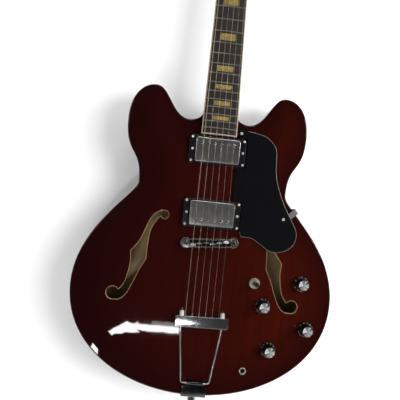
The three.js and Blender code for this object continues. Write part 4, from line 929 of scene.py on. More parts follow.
def makeNeck():
    plan = neckPlan
    gap, count = plan["jointGap"], plan["heelRings"]
    heights = [plan["join"] + gap + (plan["heelLength"] - gap) * (i / (count - 1)) ** 1.1
               for i in range(count)]
    heights += [fretY(n) for n in (15, 12, 9, 7, 5, 3, 1)] + [plan["scale"]]
    rings = [neckRing(y, boardHalf(y), neckDepth(y)) for y in sorted(set(heights))]
    throat = plan["scale"] + plan["throat"]
    rings.append(neckRing(throat, plan["halfAtNut"], plan["depthAtNut"]))
    tilt = math.radians(-frames["headTilt"])
    sink = plan["headSink"]
    thick = plan["headThickness"] / math.cos(tilt) - sink
    for reach in plan["throatRings"]:
        drop = reach * math.tan(tilt)
        share = reach / plan["throatRings"][-1]
        rings.append(neckRing(throat + reach, plan["halfAtNut"] + drop / 2,
                              plan["depthAtNut"] * (1 - share) + thick * share, drop + sink * share))
    neck = addLoft(rings)
    neck.data.transform(neckInBody)
    heelLow, (side, high) = plan["heelCut"]
    cutWith(neck, addBlock(heelLow, (side, plan["join"] + plan["heelCutGap"], high)))
    neck.data.transform(neckInBody.inverted())
    tenon = addBlock((-plan["tenonHalf"], plan["boardEnd"] + 0.2, -plan["tenonDepth"]),
                     (plan["tenonHalf"], plan["join"] + plan["tenonReach"], 0))
    cutWith(neck, tenon, "UNION")
    head = addPlate(headLine(), -plan["headThickness"], 0, 1.0, 3, 40)
    head.data.transform(headInNeck)
    cutWith(neck, head, "UNION")
    holes = join([addPin(tuners["post"] + tuners["play"], *tunerPlace(string)[1:], -30, 10, 20)
                  for string in range(6)])
    holes.data.transform(headInNeck)
    cutWith(neck, holes)
    dress(neck, neckLacquer, smooth=32)
    settle(neck, "neck", neckFrame, name="neckWood")


makeNeck()


# Fretboard: crowned rosewood with cream binding, wire frets and pearl blocks

board = {"thickness": 6.0, "radius": 305.0, "binding": 1.5, "bindingDrop": 0.35, "frets": 22,
         "fretWidth": 1.9, "fretHeight": 1.0, "fretInset": 1.2, "fretFoot": -0.6, "glue": 0.2,
         "fretRound": 0.45, "fretArc": 1.15, "fretShort": 0.012, "fretNarrow": 0.35, "seam": 0.2,
         "inlayFoot": 5.0, "inlayProud": 0.03,
         "inlays": {3: 27, 5: 26, 7: 25, 9: 24, 12: 11, 15: 9, 17: 7, 19: 7, 21: 6}, "inlayGap": 4.5,
         "blockShare": 0.46, "dot": 0.9, "dotHeight": 3.6, "dotPair": 2.6}


def crown(x):
    return math.sqrt(board["radius"] ** 2 - x**2) - board["radius"]


def subdivided(block, cuts):
    editAll(block)
    bpy.ops.mesh.subdivide(number_cuts=cuts)
    leaveEdit()
    return block


def makeFretboard():
    endStrip = neckPlan["boardEnd"] + board["binding"]
    rings = []
    for y in (neckPlan["boardEnd"], endStrip, neckPlan["scale"] - 0.2):
        half = boardHalf(y)
        edge = half - board["binding"]
        xs = [half, edge] + [edge * (1 - i / 6) for i in range(1, 12)] + [-edge, -half]
        ring = [(x, y, board["thickness"] + crown(x) - (board["bindingDrop"] if abs(x) == half else 0))
                for x in xs]
        rings.append(ring + [(-half, y, board["glue"]), (half, y, board["glue"])])
    wood = addLoft(rings)
    dress(wood, rosewood, creamBinding, smooth=25)
    inner = board["binding"] + board["seam"]
    paintFaces(wood, lambda centre, normal: abs(centre.x) > boardHalf(centre.y) - inner
               or centre.y < endStrip, 1)
    pieces = [wood]
    rib = subdivided(addBox(0.5, board["fretWidth"] / 2, board["fretFoot"], board["fretHeight"]), 9)
    for number in range(1, board["frets"] + 1):
        y = fretY(number)
        fret = copyOf(rib, Matrix.Scale(2 * (boardHalf(y) - board["fretInset"]), 4, (1, 0, 0)))
        for vertex in fret.data.vertices:
            x, across, z = vertex.co
            top = max(z, 0) / board["fretHeight"]
            fall = board["fretRound"] * (across / board["fretArc"]) ** 2 * top
            narrow = 1 - board["fretNarrow"] * top * top
            vertex.co = (x * (1 - board["fretShort"] * top), y + across * narrow,
                         board["thickness"] + crown(x) + z - fall)
        pieces.append(dress(fret, fretWire, smooth=60))
    bpy.data.objects.remove(rib)
    for number, tall in board["inlays"].items():
        low, high = fretY(number), fretY(number - 1)
        middle = (low + high) / 2
        tall = min(tall, (high - low) - board["inlayGap"])
        half = boardHalf(middle) * board["blockShare"]
        inlay = subdivided(addBox(half, tall / 2, board["inlayFoot"], board["thickness"], 0, middle), 5)
        for vertex in inlay.data.vertices:
            if vertex.co.z > board["thickness"] - 0.1:
                vertex.co.z = board["thickness"] + crown(vertex.co.x) + board["inlayProud"]
        pieces.append(dress(inlay, pearl, smooth=25))
        for shift in (-board["dotPair"], board["dotPair"]) if number == 12 else (0,):
            x, y, z = -boardHalf(middle), middle + shift, board["dotHeight"]
            pieces.append(dress(addRod(board["dot"], (x - 0.04, y, z), (x + 0.8, y, z), 16), blackPlastic))
    settle(join(pieces), "fretboard", neckFrame, name="fretboardWithFrets")


makeFretboard()

strings = {"gauges": (1.17, 0.91, 0.66, 0.43, 0.33, 0.25), "nutSpread": 35.5, "bridgeSpread": 51.5,
           "nutHeight": 7.7, "saddleTop": 29.6, "travel": 2.6, "turns": 2.5, "above": 0.12,
           "offsets": (-0.8, -0.35, 0.15, -0.5, 0.1, 0.7)}


def stringX(string, spread="bridgeSpread"):
    return strings[spread] * (string / 5 - 0.5)


nutPlan = {"low": (-21.5, 628, 0.2), "high": (21.5, 632.8, 8.4), "edge": 0.7, "slotEnds": (620, 640)}


def makeNut():
    nut = addBlock(nutPlan["low"], nutPlan["high"], nutPlan["edge"], 3)
    start, end = nutPlan["slotEnds"]
    slots = []
    for string, gauge in enumerate(strings["gauges"]):
        x, half = stringX(string, "nutSpread"), gauge / 2 + 0.12
        slots.append(addBlock((x - half, start, strings["nutHeight"] - gauge / 2 - 0.1), (x + half, end, 12)))
    cutWith(nut, join(slots))
    dress(nut, boneNut)
    settle(nut, "nut", neckFrame, name="boneNut")


trussCover = {"low": 0.3, "high": 2.3, "edge": 0.5, "screw": 1.6, "ply": 1.4,
              "screws": ((-8.8, 7.5), (8.8, 7.5), (0, 37)),
              "line": [(-12.5, 4), (12.5, 4), (12.2, 12), (10.2, 22), (5, 36), (2.8, 40.5), (0, 42),
                       (-2.8, 40.5), (-5, 36), (-10.2, 22), (-12.2, 12)]}


def makeTrussCover():
    cover = addPlate(smoothLine(trussCover["line"], 5, (0, 1)), trussCover["low"], trussCover["high"],
                     trussCover["edge"], 2, 30)
    dress(cover, blackPlastic, guardEdge)
    paintFaces(cover, lambda centre, normal: abs(normal.z) < 0.5 and centre.z < trussCover["ply"], 1)
    screws = [placedScrew(trussCover["screw"], (x, y, trussCover["high"] - 0.1))
              for x, y in trussCover["screws"]]
    settle(join([cover] + screws), "truss_rod_cover", headFrame)


# Screws: an oval head with a cross, drawn once at radius 1 and copied

def screwPattern():
    head = addTurned([(0, -0.3), (1, -0.3), (1, 0.05), (0.86, 0.28), (0.6, 0.42), (0.3, 0.48), (0, 0.5)], 20)
    for halfX, halfY in ((0.62, 0.13), (0.13, 0.62)):
        cutWith(head, addBox(halfX, halfY, 0.12, 1))
    dress(head, darkScrew, smooth=30)
    head.hide_render = True
    return head


screwHead = screwPattern()


def placedScrew(radius, at, turn=0.4, direction=(0, 0, 1)):
    aim = Vector(direction).to_track_quat("Z", "Y").to_matrix().to_4x4()
    screw = copyOf(screwHead, shifted(*at) @ aim @ rotated(turn) @ Matrix.Scale(radius, 4))
    screw.hide_render = False
    return screw


makeNut()
makeTrussCover()
print("stage: neck, board and nut made")


# Tuners: plate with three closed housings on each side, slotted posts, pearl buttons

tunerBack = -neckPlan["headThickness"] - tuners["gap"]
shaftHeight = tunerBack - tuners["plateThickness"] - tuners["housing"][2] / 2


def makeTunerStrip(side, name):
    x = side * tuners["x"]
    ys = [tuners["first"] + rank * tuners["spacing"] for rank in range(3)]
    reach = (ys[2] - ys[0]) / 2 + tuners["margin"]
    plate = addPlate(roundedCorners(tuners["plateHalf"], reach, 2, 4, x, ys[1]),
                     tunerBack - tuners["plateThickness"], tunerBack, 0.3)
    pieces = [plate]
    halfX, halfY, tall = tuners["housing"]
    bore = tuners["post"] + tuners["play"]
    for y in ys:
        box = addPlate(roundedCorners(halfX, halfY, 2.4, 5, x, y), tunerBack - tall, tunerBack - 0.6,
                       1.6, 4, 40)
        cutWith(box, addRod(tuners["shaft"] + tuners["play"], (x, y, shaftHeight),
                            (x + side * 12, y, shaftHeight), 16))
        for piece in (plate, box):
            cutWith(piece, addPin(bore, x, y, tunerBack - tuners["wellDepth"], 4, 20))
        collar = addTurned(tuners["ferrule"], 28)
        collar.data.transform(shifted(x, y))
        pieces += [dress(box, nickel, smooth=40), dress(collar, nickel, smooth=40)]
    dress(plate, nickel, smooth=40)
    pieces += [placedScrew(1.8, (x, (low + high) / 2, tunerBack - 1.1), 0.3, (0, 0, -1))
               for low, high in zip(ys, ys[1:])]
    settle(join(pieces), f"tuner_strip_{name}", headFrame)


def makePosts():
    radius, waist, shaft = tuners["post"], tuners["waist"], tuners["reach"]
    foot = tunerBack - 7
    pattern = addTurned([(0, foot), (radius, foot), (radius, 3), (waist + 0.1, 4.4), (waist, 5),
                         (waist, 12.5), (radius - 0.2, 13.2), (radius, 13.8), (radius, 16.4),
                         (radius - 0.6, 17), (0, 17)], 28)
    cutWith(pattern, addBox(*tuners["slot"]))
    dress(pattern, nickel)
    grip = addTurned([(0, 0), (tuners["shaft"], 0), (tuners["shaft"], shaft), (3.2, shaft + 1.8),
                      (3.2, shaft + 3.6), (0, shaft + 3.6)], 20)
    dress(grip, nickel)
    clearSelection()
    bpy.ops.mesh.primitive_uv_sphere_add(segments=28, ring_count=16, radius=1)
    pad = bpy.context.active_object
    middle = shaft + 1.8 + tuners["buttonLength"] / 2
    full = lambda v: math.copysign(abs(v) ** 0.8, v)
    for vertex in pad.data.vertices:
        x, y, z = vertex.co
        pinch = 1 - tuners["lobes"] * math.exp(-((x / 0.45) ** 2)) * max(-z, 0)
        vertex.co = (full(x) * tuners["buttonHalf"], y * tuners["buttonThick"],
                     middle + full(z) * pinch * tuners["buttonLength"] / 2)
    dress(pad, buttonPearl, smooth=80)
    button = join([grip, pad])
    for string in range(6):
        side, x, y = tunerPlace(string)
        node = f"tuner_post_{string + 1}"
        post = copyOf(pattern, shifted(x, y) @ rotated(0.9 * string + 0.5))
        settle(post, node, headFrame, node)
        node = f"tuner_button_{string + 1}"
        aim = shifted(x + side * (radius + 0.7), y, shaftHeight) @ rotated(side * math.pi / 2, "Y")
        settle(copyOf(button, aim), node, headFrame, node)
    bpy.data.objects.remove(pattern)
    bpy.data.objects.remove(button)


makeTunerStrip(-1, "bass")
makeTunerStrip(1, "treble")
makePosts()
print("stage: tuners made")


# Pickups and rings

pickups = {
    "cover": (34.6, 19.0), "corner": 3.4, "edge": 1.5, "depth": 19.0, "tab": (42.0, 5.0, 1.5),
    "poleSpread": 50.5, "poleOffset": 10.0, "well": 2.5, "poleSlot": (1.7, 0.25, 0.2, 2),
    "poleLine": [(0, -1.2), (2.4, -1.2), (2.4, 0.05), (2.1, 0.3), (1.5, 0.45), (0, 0.5)],
    "ringHalf": (45.2, 22.6), "ringCorner": 5.0, "ringGap": 0.35, "ringLean": 1.0, "ringSink": 0.6,
    "earX": 39.6, "cornerScrews": (40.7, 18.4), "screw": 2.0, "heightScrew": 2.1,
    "neck": {"y": 140.8, "face": 18.6, "ring": 16.2, "turn": 0.0},
    "bridge": {"y": 41.6, "face": 24.4, "ring": 20.0, "turn": math.pi},
}


def makePickup(kind):
    plan = pickups[kind]
    face, low, y = plan["face"], plan["face"] - pickups["depth"], pickups["poleOffset"]
    can = addPlate(roundedCorners(*pickups["cover"], pickups["corner"], 6), low, face)
    pickTopLoop(can)
    bpy.ops.mesh.bevel(offset=pickups["edge"], segments=5, affect="EDGES")
    leaveEdit()
    tabX, tabY, tabZ = pickups["tab"]
    tab = addBlock((-tabX, -tabY, low), (tabX, tabY, low + tabZ), 0.3)
    xs = [pickups["poleSpread"] * (string / 5 - 0.5) for string in range(6)]
    cutWith(can, join([addPin(pickups["well"], x, y, face - 0.4, face + 2, 20) for x in xs]))
    dress(can, coverNickel, smooth=40)
    pole = addTurned(pickups["poleLine"], 24)
    cutWith(pole, addBox(*pickups["poleSlot"]))
    dress(pole, nickel, smooth=30)
    poles = [copyOf(pole, shifted(x, y, face) @ rotated(0.3 + 0.9 * i)) for i, x in enumerate(xs)]
    bpy.data.objects.remove(pole)
    dress(tab, nickel)
    place = shifted(0, plan["y"]) @ rotated(plan["turn"])
    settle(join([can, tab] + poles), f"{kind}_pickup", bodyFrame @ place, f"{kind}_pickup")


def makeRing(kind):
    y, top = pickups[kind]["y"], pickups[kind]["ring"]
    halfX, halfY = pickups["ringHalf"]
    ring = addPlate(roundedCorners(halfX, halfY, pickups["ringCorner"], 7, 0, y), 1.0, top)
    coverX, coverY = pickups["cover"]
    gap, lean = pickups["ringGap"], pickups["ringLean"]
    cutWith(ring, addPlate(roundedCorners(coverX + gap, coverY + gap, 3.0, 5, 0, y), -9, 40))
    for vertex in ring.data.vertices:
        outer = max(abs(vertex.co.x) - coverX - 1, abs(vertex.co.y - y) - coverY - 1)
        if vertex.co.z > 10 and outer > 0:
            vertex.co.x *= 1 - lean / halfX
            vertex.co.y = y + (vertex.co.y - y) * (1 - lean / halfY)
    low = outerHeight(flatCoordinates(ring.data)[:, :2], bodyPlan["arch"])
    for vertex, surface in zip(ring.data.vertices, low):
        if vertex.co.z < 5:
            vertex.co.z = surface - pickups["ringSink"]
    faceOut(ring)
    roundEdges(ring, 0.7, 3, 50)
    dress(ring, blackPlastic, smooth=40)
    pieces = [ring]
    cornerX, cornerY = pickups["cornerScrews"]
    for sx in (-1, 1):
        pieces += [placedScrew(pickups["screw"], (sx * cornerX, y + sy * cornerY, top - 0.05),
                               0.5 + sx + 0.7 * sy) for sy in (-1, 1)]
        pieces.append(placedScrew(pickups["heightScrew"], (sx * pickups["earX"], y, top - 0.1), 1.1 * sx))
    settle(join(pieces), f"{kind}_pickup_ring")


for kind in ("neck", "bridge"):
    makePickup(kind)
    makeRing(kind)
print("stage: pickups made")


# Bridge with six saddles on screws

bridge = {"half": 37.1, "breadth": 6.6, "bottom": 18.2, "top": 26.2, "endTop": 24.4, "slot": (31.5, 5.0),
          "floor": 20.8, "endMargin": 1.4, "postBore": 2.3, "screwHeight": 23.4, "screw": 0.9,
          "screwSlot": (3, 0.25, 0.45, 2), "saddleHalf": (4.2, 2.1), "shoulder": 27.0, "crest": 0.5,
          "screwHead": [(0, 0), (1.75, 0), (1.75, 0.5), (1.35, 0.85), (0, 0.9)],
          "notch": 0.13, "veeHalf": (0.2, 1.0), "wheel": 8.4, "wheelDepth": 2, "wheelHeight": 16.9,
          "teeth": 96, "valley": 0.955, "postSlot": (3, 0.35, 23.2, 30),
          "post": [(0, 0.2), (1.95, 0.2), (1.95, 23.6), (1.6, 24.1), (0, 24.1)]}


def makeBridge():
    half, breadth, height = bridge["half"], bridge["breadth"], bridge["screwHeight"]
    line = []
    for side in (1, -1):
        for i in range(17):
            angle = -math.pi / 2 + math.pi * i / 16
            line.append((side * (half + breadth * math.cos(angle)), side * breadth * math.sin(angle)))
    beam = addPlate(line, bridge["bottom"], bridge["top"])
    slotX, slotY = bridge["slot"]
    cutters = [addBox(slotX, slotY, bridge["floor"], 40)]
    for side in (-1, 1):
        near, far = sorted((side * (slotX + bridge["endMargin"]), side * 60))
        cutters.append(addBlock((near, -20, bridge["endTop"]), (far, 20, 40)))
    cutWith(beam, join(cutters))
    cutWith(beam, join([addPin(bridge["postBore"], side * half, 0, 0, 40) for side in (-1, 1)]))
    roundEdges(beam, 0.55, 3, 40)
    dress(beam, dullNickel, paintedShadeChrome, smooth=40)
    # painted shade: the floor and walls inside the string channel are painted dark, where shade falls
    paintFaces(beam, lambda centre, normal: abs(centre.x) < slotX - 0.2 and abs(centre.y) < slotY + 0.2
               and centre.z < bridge["top"] - 0.7, 1)
    pieces = [beam]
    for string in range(6):
        x = stringX(string) - frames["bridgeX"]
        rod = addRod(bridge["screw"], (x, -breadth - 0.7, height), (x, breadth - 0.2, height), 14)
        head = addTurned(bridge["screwHead"], 20)
        cutWith(head, addBox(*bridge["screwSlot"]))
        head.data.transform(shifted(x, -breadth, height) @ rotated(math.pi / 2, "X") @ rotated(0.7 * string))
        pieces += [dress(rod, dullNickel), dress(head, dullNickel)]
    settle(join(pieces), "bridge_body", bridgeFrame, "bridge", "bridgeBeam")


def makeSaddles():
    halfX, halfY = bridge["saddleHalf"]
    floor, shoulder, crest = bridge["floor"] + 0.3, bridge["shoulder"], bridge["crest"]
    low, wide = bridge["veeHalf"]
    for string, gauge in enumerate(strings["gauges"]):
        x = stringX(string)
        top = strings["saddleTop"] + crown(x)
        saddle = addProfile([(-halfY, floor), (halfY, floor), (halfY, shoulder), (crest, top),
                             (-crest, top), (-halfY, shoulder)], halfX, alongX)
        height = bridge["screwHeight"]
        cutWith(saddle, addRod(bridge["screw"] + 0.3, (0, -9, height), (0, 9, height), 16))
        # a plain string's notch is a wide V, for the saddle slides aslant under it
        depth = top - bridge["notch"]
        if string < 3:
            notch = addRod(gauge / 2 + 0.1, (0, -9, depth), (0, 9, depth), 12)
        else:
            bottom = depth - gauge / 2 - 0.1
            notch = addProfile([(-low, bottom), (low, bottom), (wide, top + 0.5), (-wide, top + 0.5)],
                               9, alongY)
        cutWith(saddle, notch)
        roundEdges(saddle, 0.3, 2, 40)
        dress(saddle, nickel)
        node = f"saddle_{string + 1}"
        place = shifted(x - frames["bridgeX"], strings["offsets"][string] * strings["travel"])
        settle(saddle, node, bridgeFrame @ place, node)


def notchTeeth(piece, teeth, valley, beyond=0.0):
    # every second point of the edge is drawn in
    for vertex in piece.data.vertices:
        turn = round(math.atan2(vertex.co.y, vertex.co.x) / math.tau * teeth)
        if turn % 2 and math.hypot(vertex.co.x, vertex.co.y) > beyond:
            vertex.co.x *= valley
            vertex.co.y *= valley


def makeThumbwheels():
    clearSelection()
    bpy.ops.mesh.primitive_cylinder_add(vertices=bridge["teeth"], radius=bridge["wheel"],
                                        depth=bridge["wheelDepth"], location=(0, 0, bridge["wheelHeight"]))
    wheel = bpy.context.active_object
    bpy.ops.object.transform_apply(location=True)
    notchTeeth(wheel, bridge["teeth"], bridge["valley"])
    roundEdges(wheel, 0.25, 1, 60)
    post = addTurned(bridge["post"], 24)
    cutWith(post, addBox(*bridge["postSlot"]))
    pattern = join([dress(wheel, dullNickel, smooth=25), dress(post, nickel)])
    for side, name in ((-1, "bass"), (1, "treble")):
        place = shifted(side * bridge["half"]) @ rotated(0.6 * side)
        settle(copyOf(pattern, place), f"thumbwheel_{name}", bridgeFrame, f"thumbwheel_{name}")
    bpy.data.objects.remove(pattern)


makeBridge()
makeSaddles()
makeThumbwheels()
print("stage: bridge made")


# Trapeze tailpiece and strap buttons

tail = {"barY": -124.4, "bar": (40.5, 8.2, 5.0), "height": 24.0, "edge": 0.6, "lean": 1.8, "wire": 0.95,
        "topX": 31.3, "topReach": 19.4, "corner": (22.0, -223.5, 9.2), "bend": 5.0, "barrel": (3.3, 7.5),
        "barrelBore": 2.35, "hingeHalf": 19.5, "shoulder": 14.5, "knuckle": 13.0, "sheet": 1.6,
        "play": 0.2, "drop": 33.0, "tailY": -246.5, "stringHole": 1.0, "ballHole": 2.3,
        "ball": [(0.3, -1.6), (1.9, -1.6), (1.5, -0.8), (1.5, 0.8), (1.9, 1.6), (0.3, 1.6), (0.3, -1.6)],
        "screw": 2.6, "screwX": 13.2, "screwHeights": (-10, -27)}


def bendPoints(start, corner, end, steps=8):
    return bend([start, corner, end], steps) + [Vector(end)]


def makeTailpieceBar():
    halfX, halfY, halfZ = tail["bar"]
    barY, height = tail["barY"], tail["height"]
    bar = addBlock((-halfX, barY - halfY, height - halfZ), (halfX, barY + halfY, height + halfZ),
                   tail["edge"], 5)
    holes = []
    for x in map(stringX, range(6)):
        holes.append(addRod(tail["stringHole"], (x, barY - 6, height), (x, barY + 20, height), 16))
        holes.append(addRod(tail["ballHole"], (x, barY - 20, height), (x, barY - halfY + 3.6, height), 20))
    cutWith(bar, join(holes))
    for vertex in bar.data.vertices:    # the treble side's upper face is a little lower
        if vertex.co.z > height + 3:
            vertex.co.z -= tail["lean"] * (vertex.co.x + halfX) / (2 * halfX)
    pieces = [dress(bar, softChrome)]
    (radius, length), bore = tail["barrel"], tail["barrelBore"]
    for side in (-1, 1):
        nut = addTurned([(bore, 0), (radius, 0), (radius, length - 0.7), (radius - 0.6, length),
                         (bore, length), (bore, 0)], 28)
        nut.data.transform(shifted(side * tail["topX"], barY + halfY, height) @ rotated(-math.pi / 2, "X"))
        pieces.append(dress(nut, darkScrew))
    for x in map(stringX, range(6)):
        ball = addTurned(tail["ball"], 16)
        ball.data.transform(shifted(x, barY - halfY + 1.9, height) @ rotated(math.pi / 2, "Y"))
        pieces.append(dress(ball, darkScrew))
    settle(join(pieces), "tailpiece_bar")


def makeTailpieceWire():
    barY, height, topX = tail["barY"], tail["height"], tail["topX"]
    leave = Vector((topX, barY - tail["bar"][1] - 6, height))
    corner = Vector(tail["corner"])
    along = (corner - leave).normalized()
    straight = leave - Vector((0, -3, 0))
    right = [Vector((topX, barY + tail["topReach"], height)), Vector((topX, barY, height)), straight]
    right += bendPoints(straight, leave, leave + along * 3, 4)[1:]
    right += bendPoints(corner - along * tail["bend"], corner, corner - Vector((tail["bend"], 0, 0)))
    left = [Vector((-point.x, point.y, point.z)) for point in reversed(right)]
    wire = dress(addTube(right + left, tail["wire"], 20), softChrome, smooth=40)
    settle(wire, "tailpiece_wire")


def makeTailpieceHinge():
    _, y, z = tail["corner"]
    tailY, sheet, drop = tail["tailY"], tail["sheet"], tail["drop"]
    knuckle = tail["wire"] + tail["play"] + 1.2
    outer = addRod(knuckle, (-tail["knuckle"], y, z), (tail["knuckle"], y, z), 40)
    roundEdges(outer, 0.4, 2, 60)
    edgeY = tailY - 0.3
    face = edgeY - sheet
    tongue = addProfile([(y, z - knuckle), (tailY + 0.4, 0.5), (edgeY, -0.6), (edgeY, -drop), (face, -drop),
                         (face, sheet * 0.3), (edgeY - sheet * 0.4, sheet * 1.3), (tailY + sheet, 2 * sheet),
                         (y - 1.5, z - knuckle + 1.2), (y, z)], tail["hingeHalf"], alongX)
    shoulders = []
    for side in (-1, 1):
        near, far = sorted((side * tail["shoulder"], side * 40))
        shoulders.append(addBlock((near, y - 6, -2), (far, y + 9, 30)))
    cutWith(tongue, join(shoulders))
    roundEdges(tongue, 0.5, 2, 40)
    cutWith(tongue, outer, "UNION")
    cutWith(tongue, addRod(tail["wire"] + tail["play"], (-30, y, z), (30, y, z), 32))
    cutWith(tongue, addRod(2.0, (0, tailY - 9, -22), (0, tailY + 9, -22), 20))
    # painted shade: the hinge is painted dark, standing in for the dark room its chrome reflects
    dress(tongue, paintedShadeChrome, smooth=40)
    screws = [placedScrew(tail["screw"], (side * tail["screwX"], face - 0.1, h), 0.6 * side + h, (0, -1, 0))
              for side in (-1, 1) for h in tail["screwHeights"]]
    settle(join([tongue] + screws), "tailpiece_hinge")


strap = {"line": [(0, -13), (1.2, -12), (1.7, -11), (1.7, 0), (5.6, 0), (5.4, 0.7), (3.9, 2.6), (3.6, 4),
                  (3.6, 7.6), (4.4, 8.8), (6.6, 9.8), (7, 10.4), (7, 12.2), (6.5, 12.9), (5.2, 13),
                  (3.2, 12.8), (2.9, 12.4), (0, 12.2)],
         "screw": 2.5, "screwAt": (0, 0, 11.4), "rise": 2.2, "tailHeight": -22, "heel": (0, 212, -49.6)}


def makeStrapButtons():
    button = dress(addTurned(strap["line"], 36), nickel)
    button = join([button, placedScrew(strap["screw"], strap["screwAt"], 0.8)])
    tailPlace = shifted(0, tail["tailY"] - strap["rise"], strap["tailHeight"]) @ rotated(math.pi / 2, "X")
    heelPlace = shifted(*strap["heel"]) @ rotated(math.pi, "X")
    for name, base, place in (("tail", bodyFrame, tailPlace), ("heel", neckFrame, heelPlace)):
        settle(copyOf(button, place), f"strap_button_{name}", base)
    bpy.data.objects.remove(button)


makeTailpieceBar()
makeTailpieceWire()
makeTailpieceHinge()
makeStrapButtons()
print("stage: tailpiece made")


# Pickguard and bracket

guard = {
    "thickness": 2.2, "top": 16.0, "left": 31.2, "bottom": -9.5, "width": 106.0, "span": 191.0,
    "bevel": 0.5, "clear": 46.2, "ringHalf": 23.6, "straightAbove": 17,
    "line": [(0.0, 1.0), (0.12, 0.976), (0.365, 0.953), (0.487, 0.916), (0.577, 0.852), (0.598, 0.77),
             (0.615, 0.637), (0.692, 0.5), (0.795, 0.38), (0.95, 0.236), (1, 0.166), (0.98, 0.092),
             (0.885, 0.032), (0.728, 0.002), (0.592, 0.014), (0.44, 0.066), (0.323, 0.1), (0.17, 0.104)],
    "screw": 2.3, "screws": ((34.9, 171.7), (114.0, 44.0)), "pillar": (3.0, 34.6, 171.5, 3.5),
}


def makeGuard():
    outer = [(guard["left"] + u * guard["width"], guard["bottom"] + v * guard["span"])
             for u, v in guard["line"]]
    left, clear, reach = guard["left"], guard["clear"], guard["ringHalf"]
    low, high = pickups["bridge"]["y"], pickups["neck"]["y"]
    line = [outer[0]] + smoothLine(outer[1:], 6, closed=False)
    line += [(clear, low - reach), (clear, low + reach), (left, low + reach), (left, high - reach),
             (clear, high - reach), (clear, high + reach), (left, high + reach)]
    plate = addPlate(line, guard["top"] - guard["thickness"], guard["top"])
    dress(plate, guardPlastic, guardEdge, smooth=0)
    pickTopLoop(plate)
    leaveEdit()
    for part in (*plate.data.polygons, *plate.data.vertices):
        part.select = False
    for edge in plate.data.edges:
        middle = middleOf(plate.data, edge)
        edge.select = edge.select and (middle.x > clear + 0.1 or middle.y < guard["straightAbove"])
    bpy.context.tool_settings.mesh_select_mode = (False, True, False)
    enterEdit()
    bpy.ops.mesh.bevel(offset=guard["bevel"], segments=1, affect="EDGES", material=1)
    leaveEdit()
    smoothBy(plate, 30)
    pillar = dress(addPin(*guard["pillar"], guard["top"] - 1.2, 24, 0.3), blackPlastic)
    screws = [placedScrew(guard["screw"], (x, y, guard["top"]), 0.9 + x) for x, y in guard["screws"]]
    settle(join([plate, pillar] + screws), "pickguard")


bracket = {"y": 59.2, "half": 4.6, "sheet": 1.3, "reach": 24.0, "drop": 15.0, "stand": 0.6, "hole": 4.6,
           "screw": 2.0}


def makeBracket():
    top = guard["top"] - guard["thickness"] - 0.3
    inner, stand, sheet, drop = bracket["reach"], bracket["stand"], bracket["sheet"], bracket["drop"]
    outside = stand + sheet
    strip = addProfile([(-inner, top - sheet), (stand - 0.6, top - sheet), (stand, top - sheet - 0.6),
                        (stand, -drop), (outside, -drop), (outside, top - 1.2), (outside - 1.2, top),
                        (-inner, top)], bracket["half"], alongY)
    roundEdges(strip, 0.35, 2, 40)
    height = -drop + bracket["hole"]
    foot = addRod(bracket["half"] / 2, (0.3, 0, height), (stand + sheet / 2, 0, height), 20)
    dress(strip, brushedSteel)
    dress(foot, brushedSteel)
    screw = placedScrew(bracket["screw"], (outside, 0, height), 0.4, (1, 0, 0))
    near = np.where((outline[:, 0] > 0) & (outline[:, 1] > 0) & (outline[:, 1] < 110))[0]
    nearest = near[np.abs(outline[near, 1] - bracket["y"]).argmin()]
    ahead, behind = outline[nearest + 1], outline[nearest - 1]
    turn = math.atan2(behind[0] - ahead[0], ahead[1] - behind[1])
    place = shifted(*outline[nearest]) @ rotated(turn)
    settle(join([strip, foot, screw]), "pickguard_bracket", bodyFrame @ place)


makeGuard()
makeBracket()
print("stage: guard made")


# Controls

knob = {"skirt": [(0, 0), (11.6, 0), (12, 0.4), (12, 1.3), (11.7, 1.7), (10.9, 2.1), (9.9, 3.1), (9.25, 4.8),
                  (8.95, 7.5), (8.6, 14.6), (8.3, 15.6), (7.9, 16.1), (7.7, 15.9), (7.7, 15.0), (0, 15.0)],
        "cap": [(0, 15.75), (1.2, 15.7), (5.6, 15.75), (7.2, 15.95), (7.7, 15.9), (7.7, 15.2), (0, 15.2)],
        "shaft": [(0, -7.0), (2.6, -7.0), (3, -6.6), (3, 0.5), (0, 0.5)], "gap": 1.2, "reach": 12,
        "numeral": 2.5, "numeralDepth": 0.12, "numeralAt": (10.9, 0, 2.3), "numeralLean": 38.0,
        "starts": {"bass_volume": 150, "treble_volume": 165, "bass_tone": 140, "treble_tone": 160}}


def highestUnder(x, y, radius):
    ring = np.array([(x + radius * math.cos(a), y + radius * math.sin(a))
                     for a in np.linspace(0, math.tau, 12, endpoint=False)])
    distance = edgeDistance(np.vstack([ring, [[x, y]]]))[0]
    return float((bodyPlan["arch"] * archShare(distance)).max())


def makeKnob(name, x, y):
    pieces = [dress(addTurned(knob["skirt"], 64), knobPlastic, smooth=30),
              dress(addTurned(knob["cap"], 64), spunCapWithPaintedRays, smooth=40),
              dress(addTurned(knob["shaft"], 24), bareSteel)]
    for number in range(11):
        clearSelection()
        bpy.ops.object.text_add()
        text = bpy.context.active_object.data
        text.body = str(number)
        text.size = knob["numeral"]
        text.align_x = text.align_y = "CENTER"
        text.extrude = knob["numeralDepth"]
        text.resolution_u = 3
        bpy.ops.object.convert(target="MESH")
        numeral = bpy.context.active_object
        numeral.data.transform(rotated(math.radians(knob["starts"][name] - 30 * number))
                               @ shifted(*knob["numeralAt"]) @ rotated(math.radians(knob["numeralLean"]), "Y")
                               @ rotated(-math.pi / 2))
        pieces.append(dress(numeral, numeralPaint, smooth=0))
    base = highestUnder(x, y, knob["reach"]) + knob["gap"]
    settle(join(pieces), f"knob_{name}", bodyFrame @ shifted(x, y, base), f"knob_{name}")


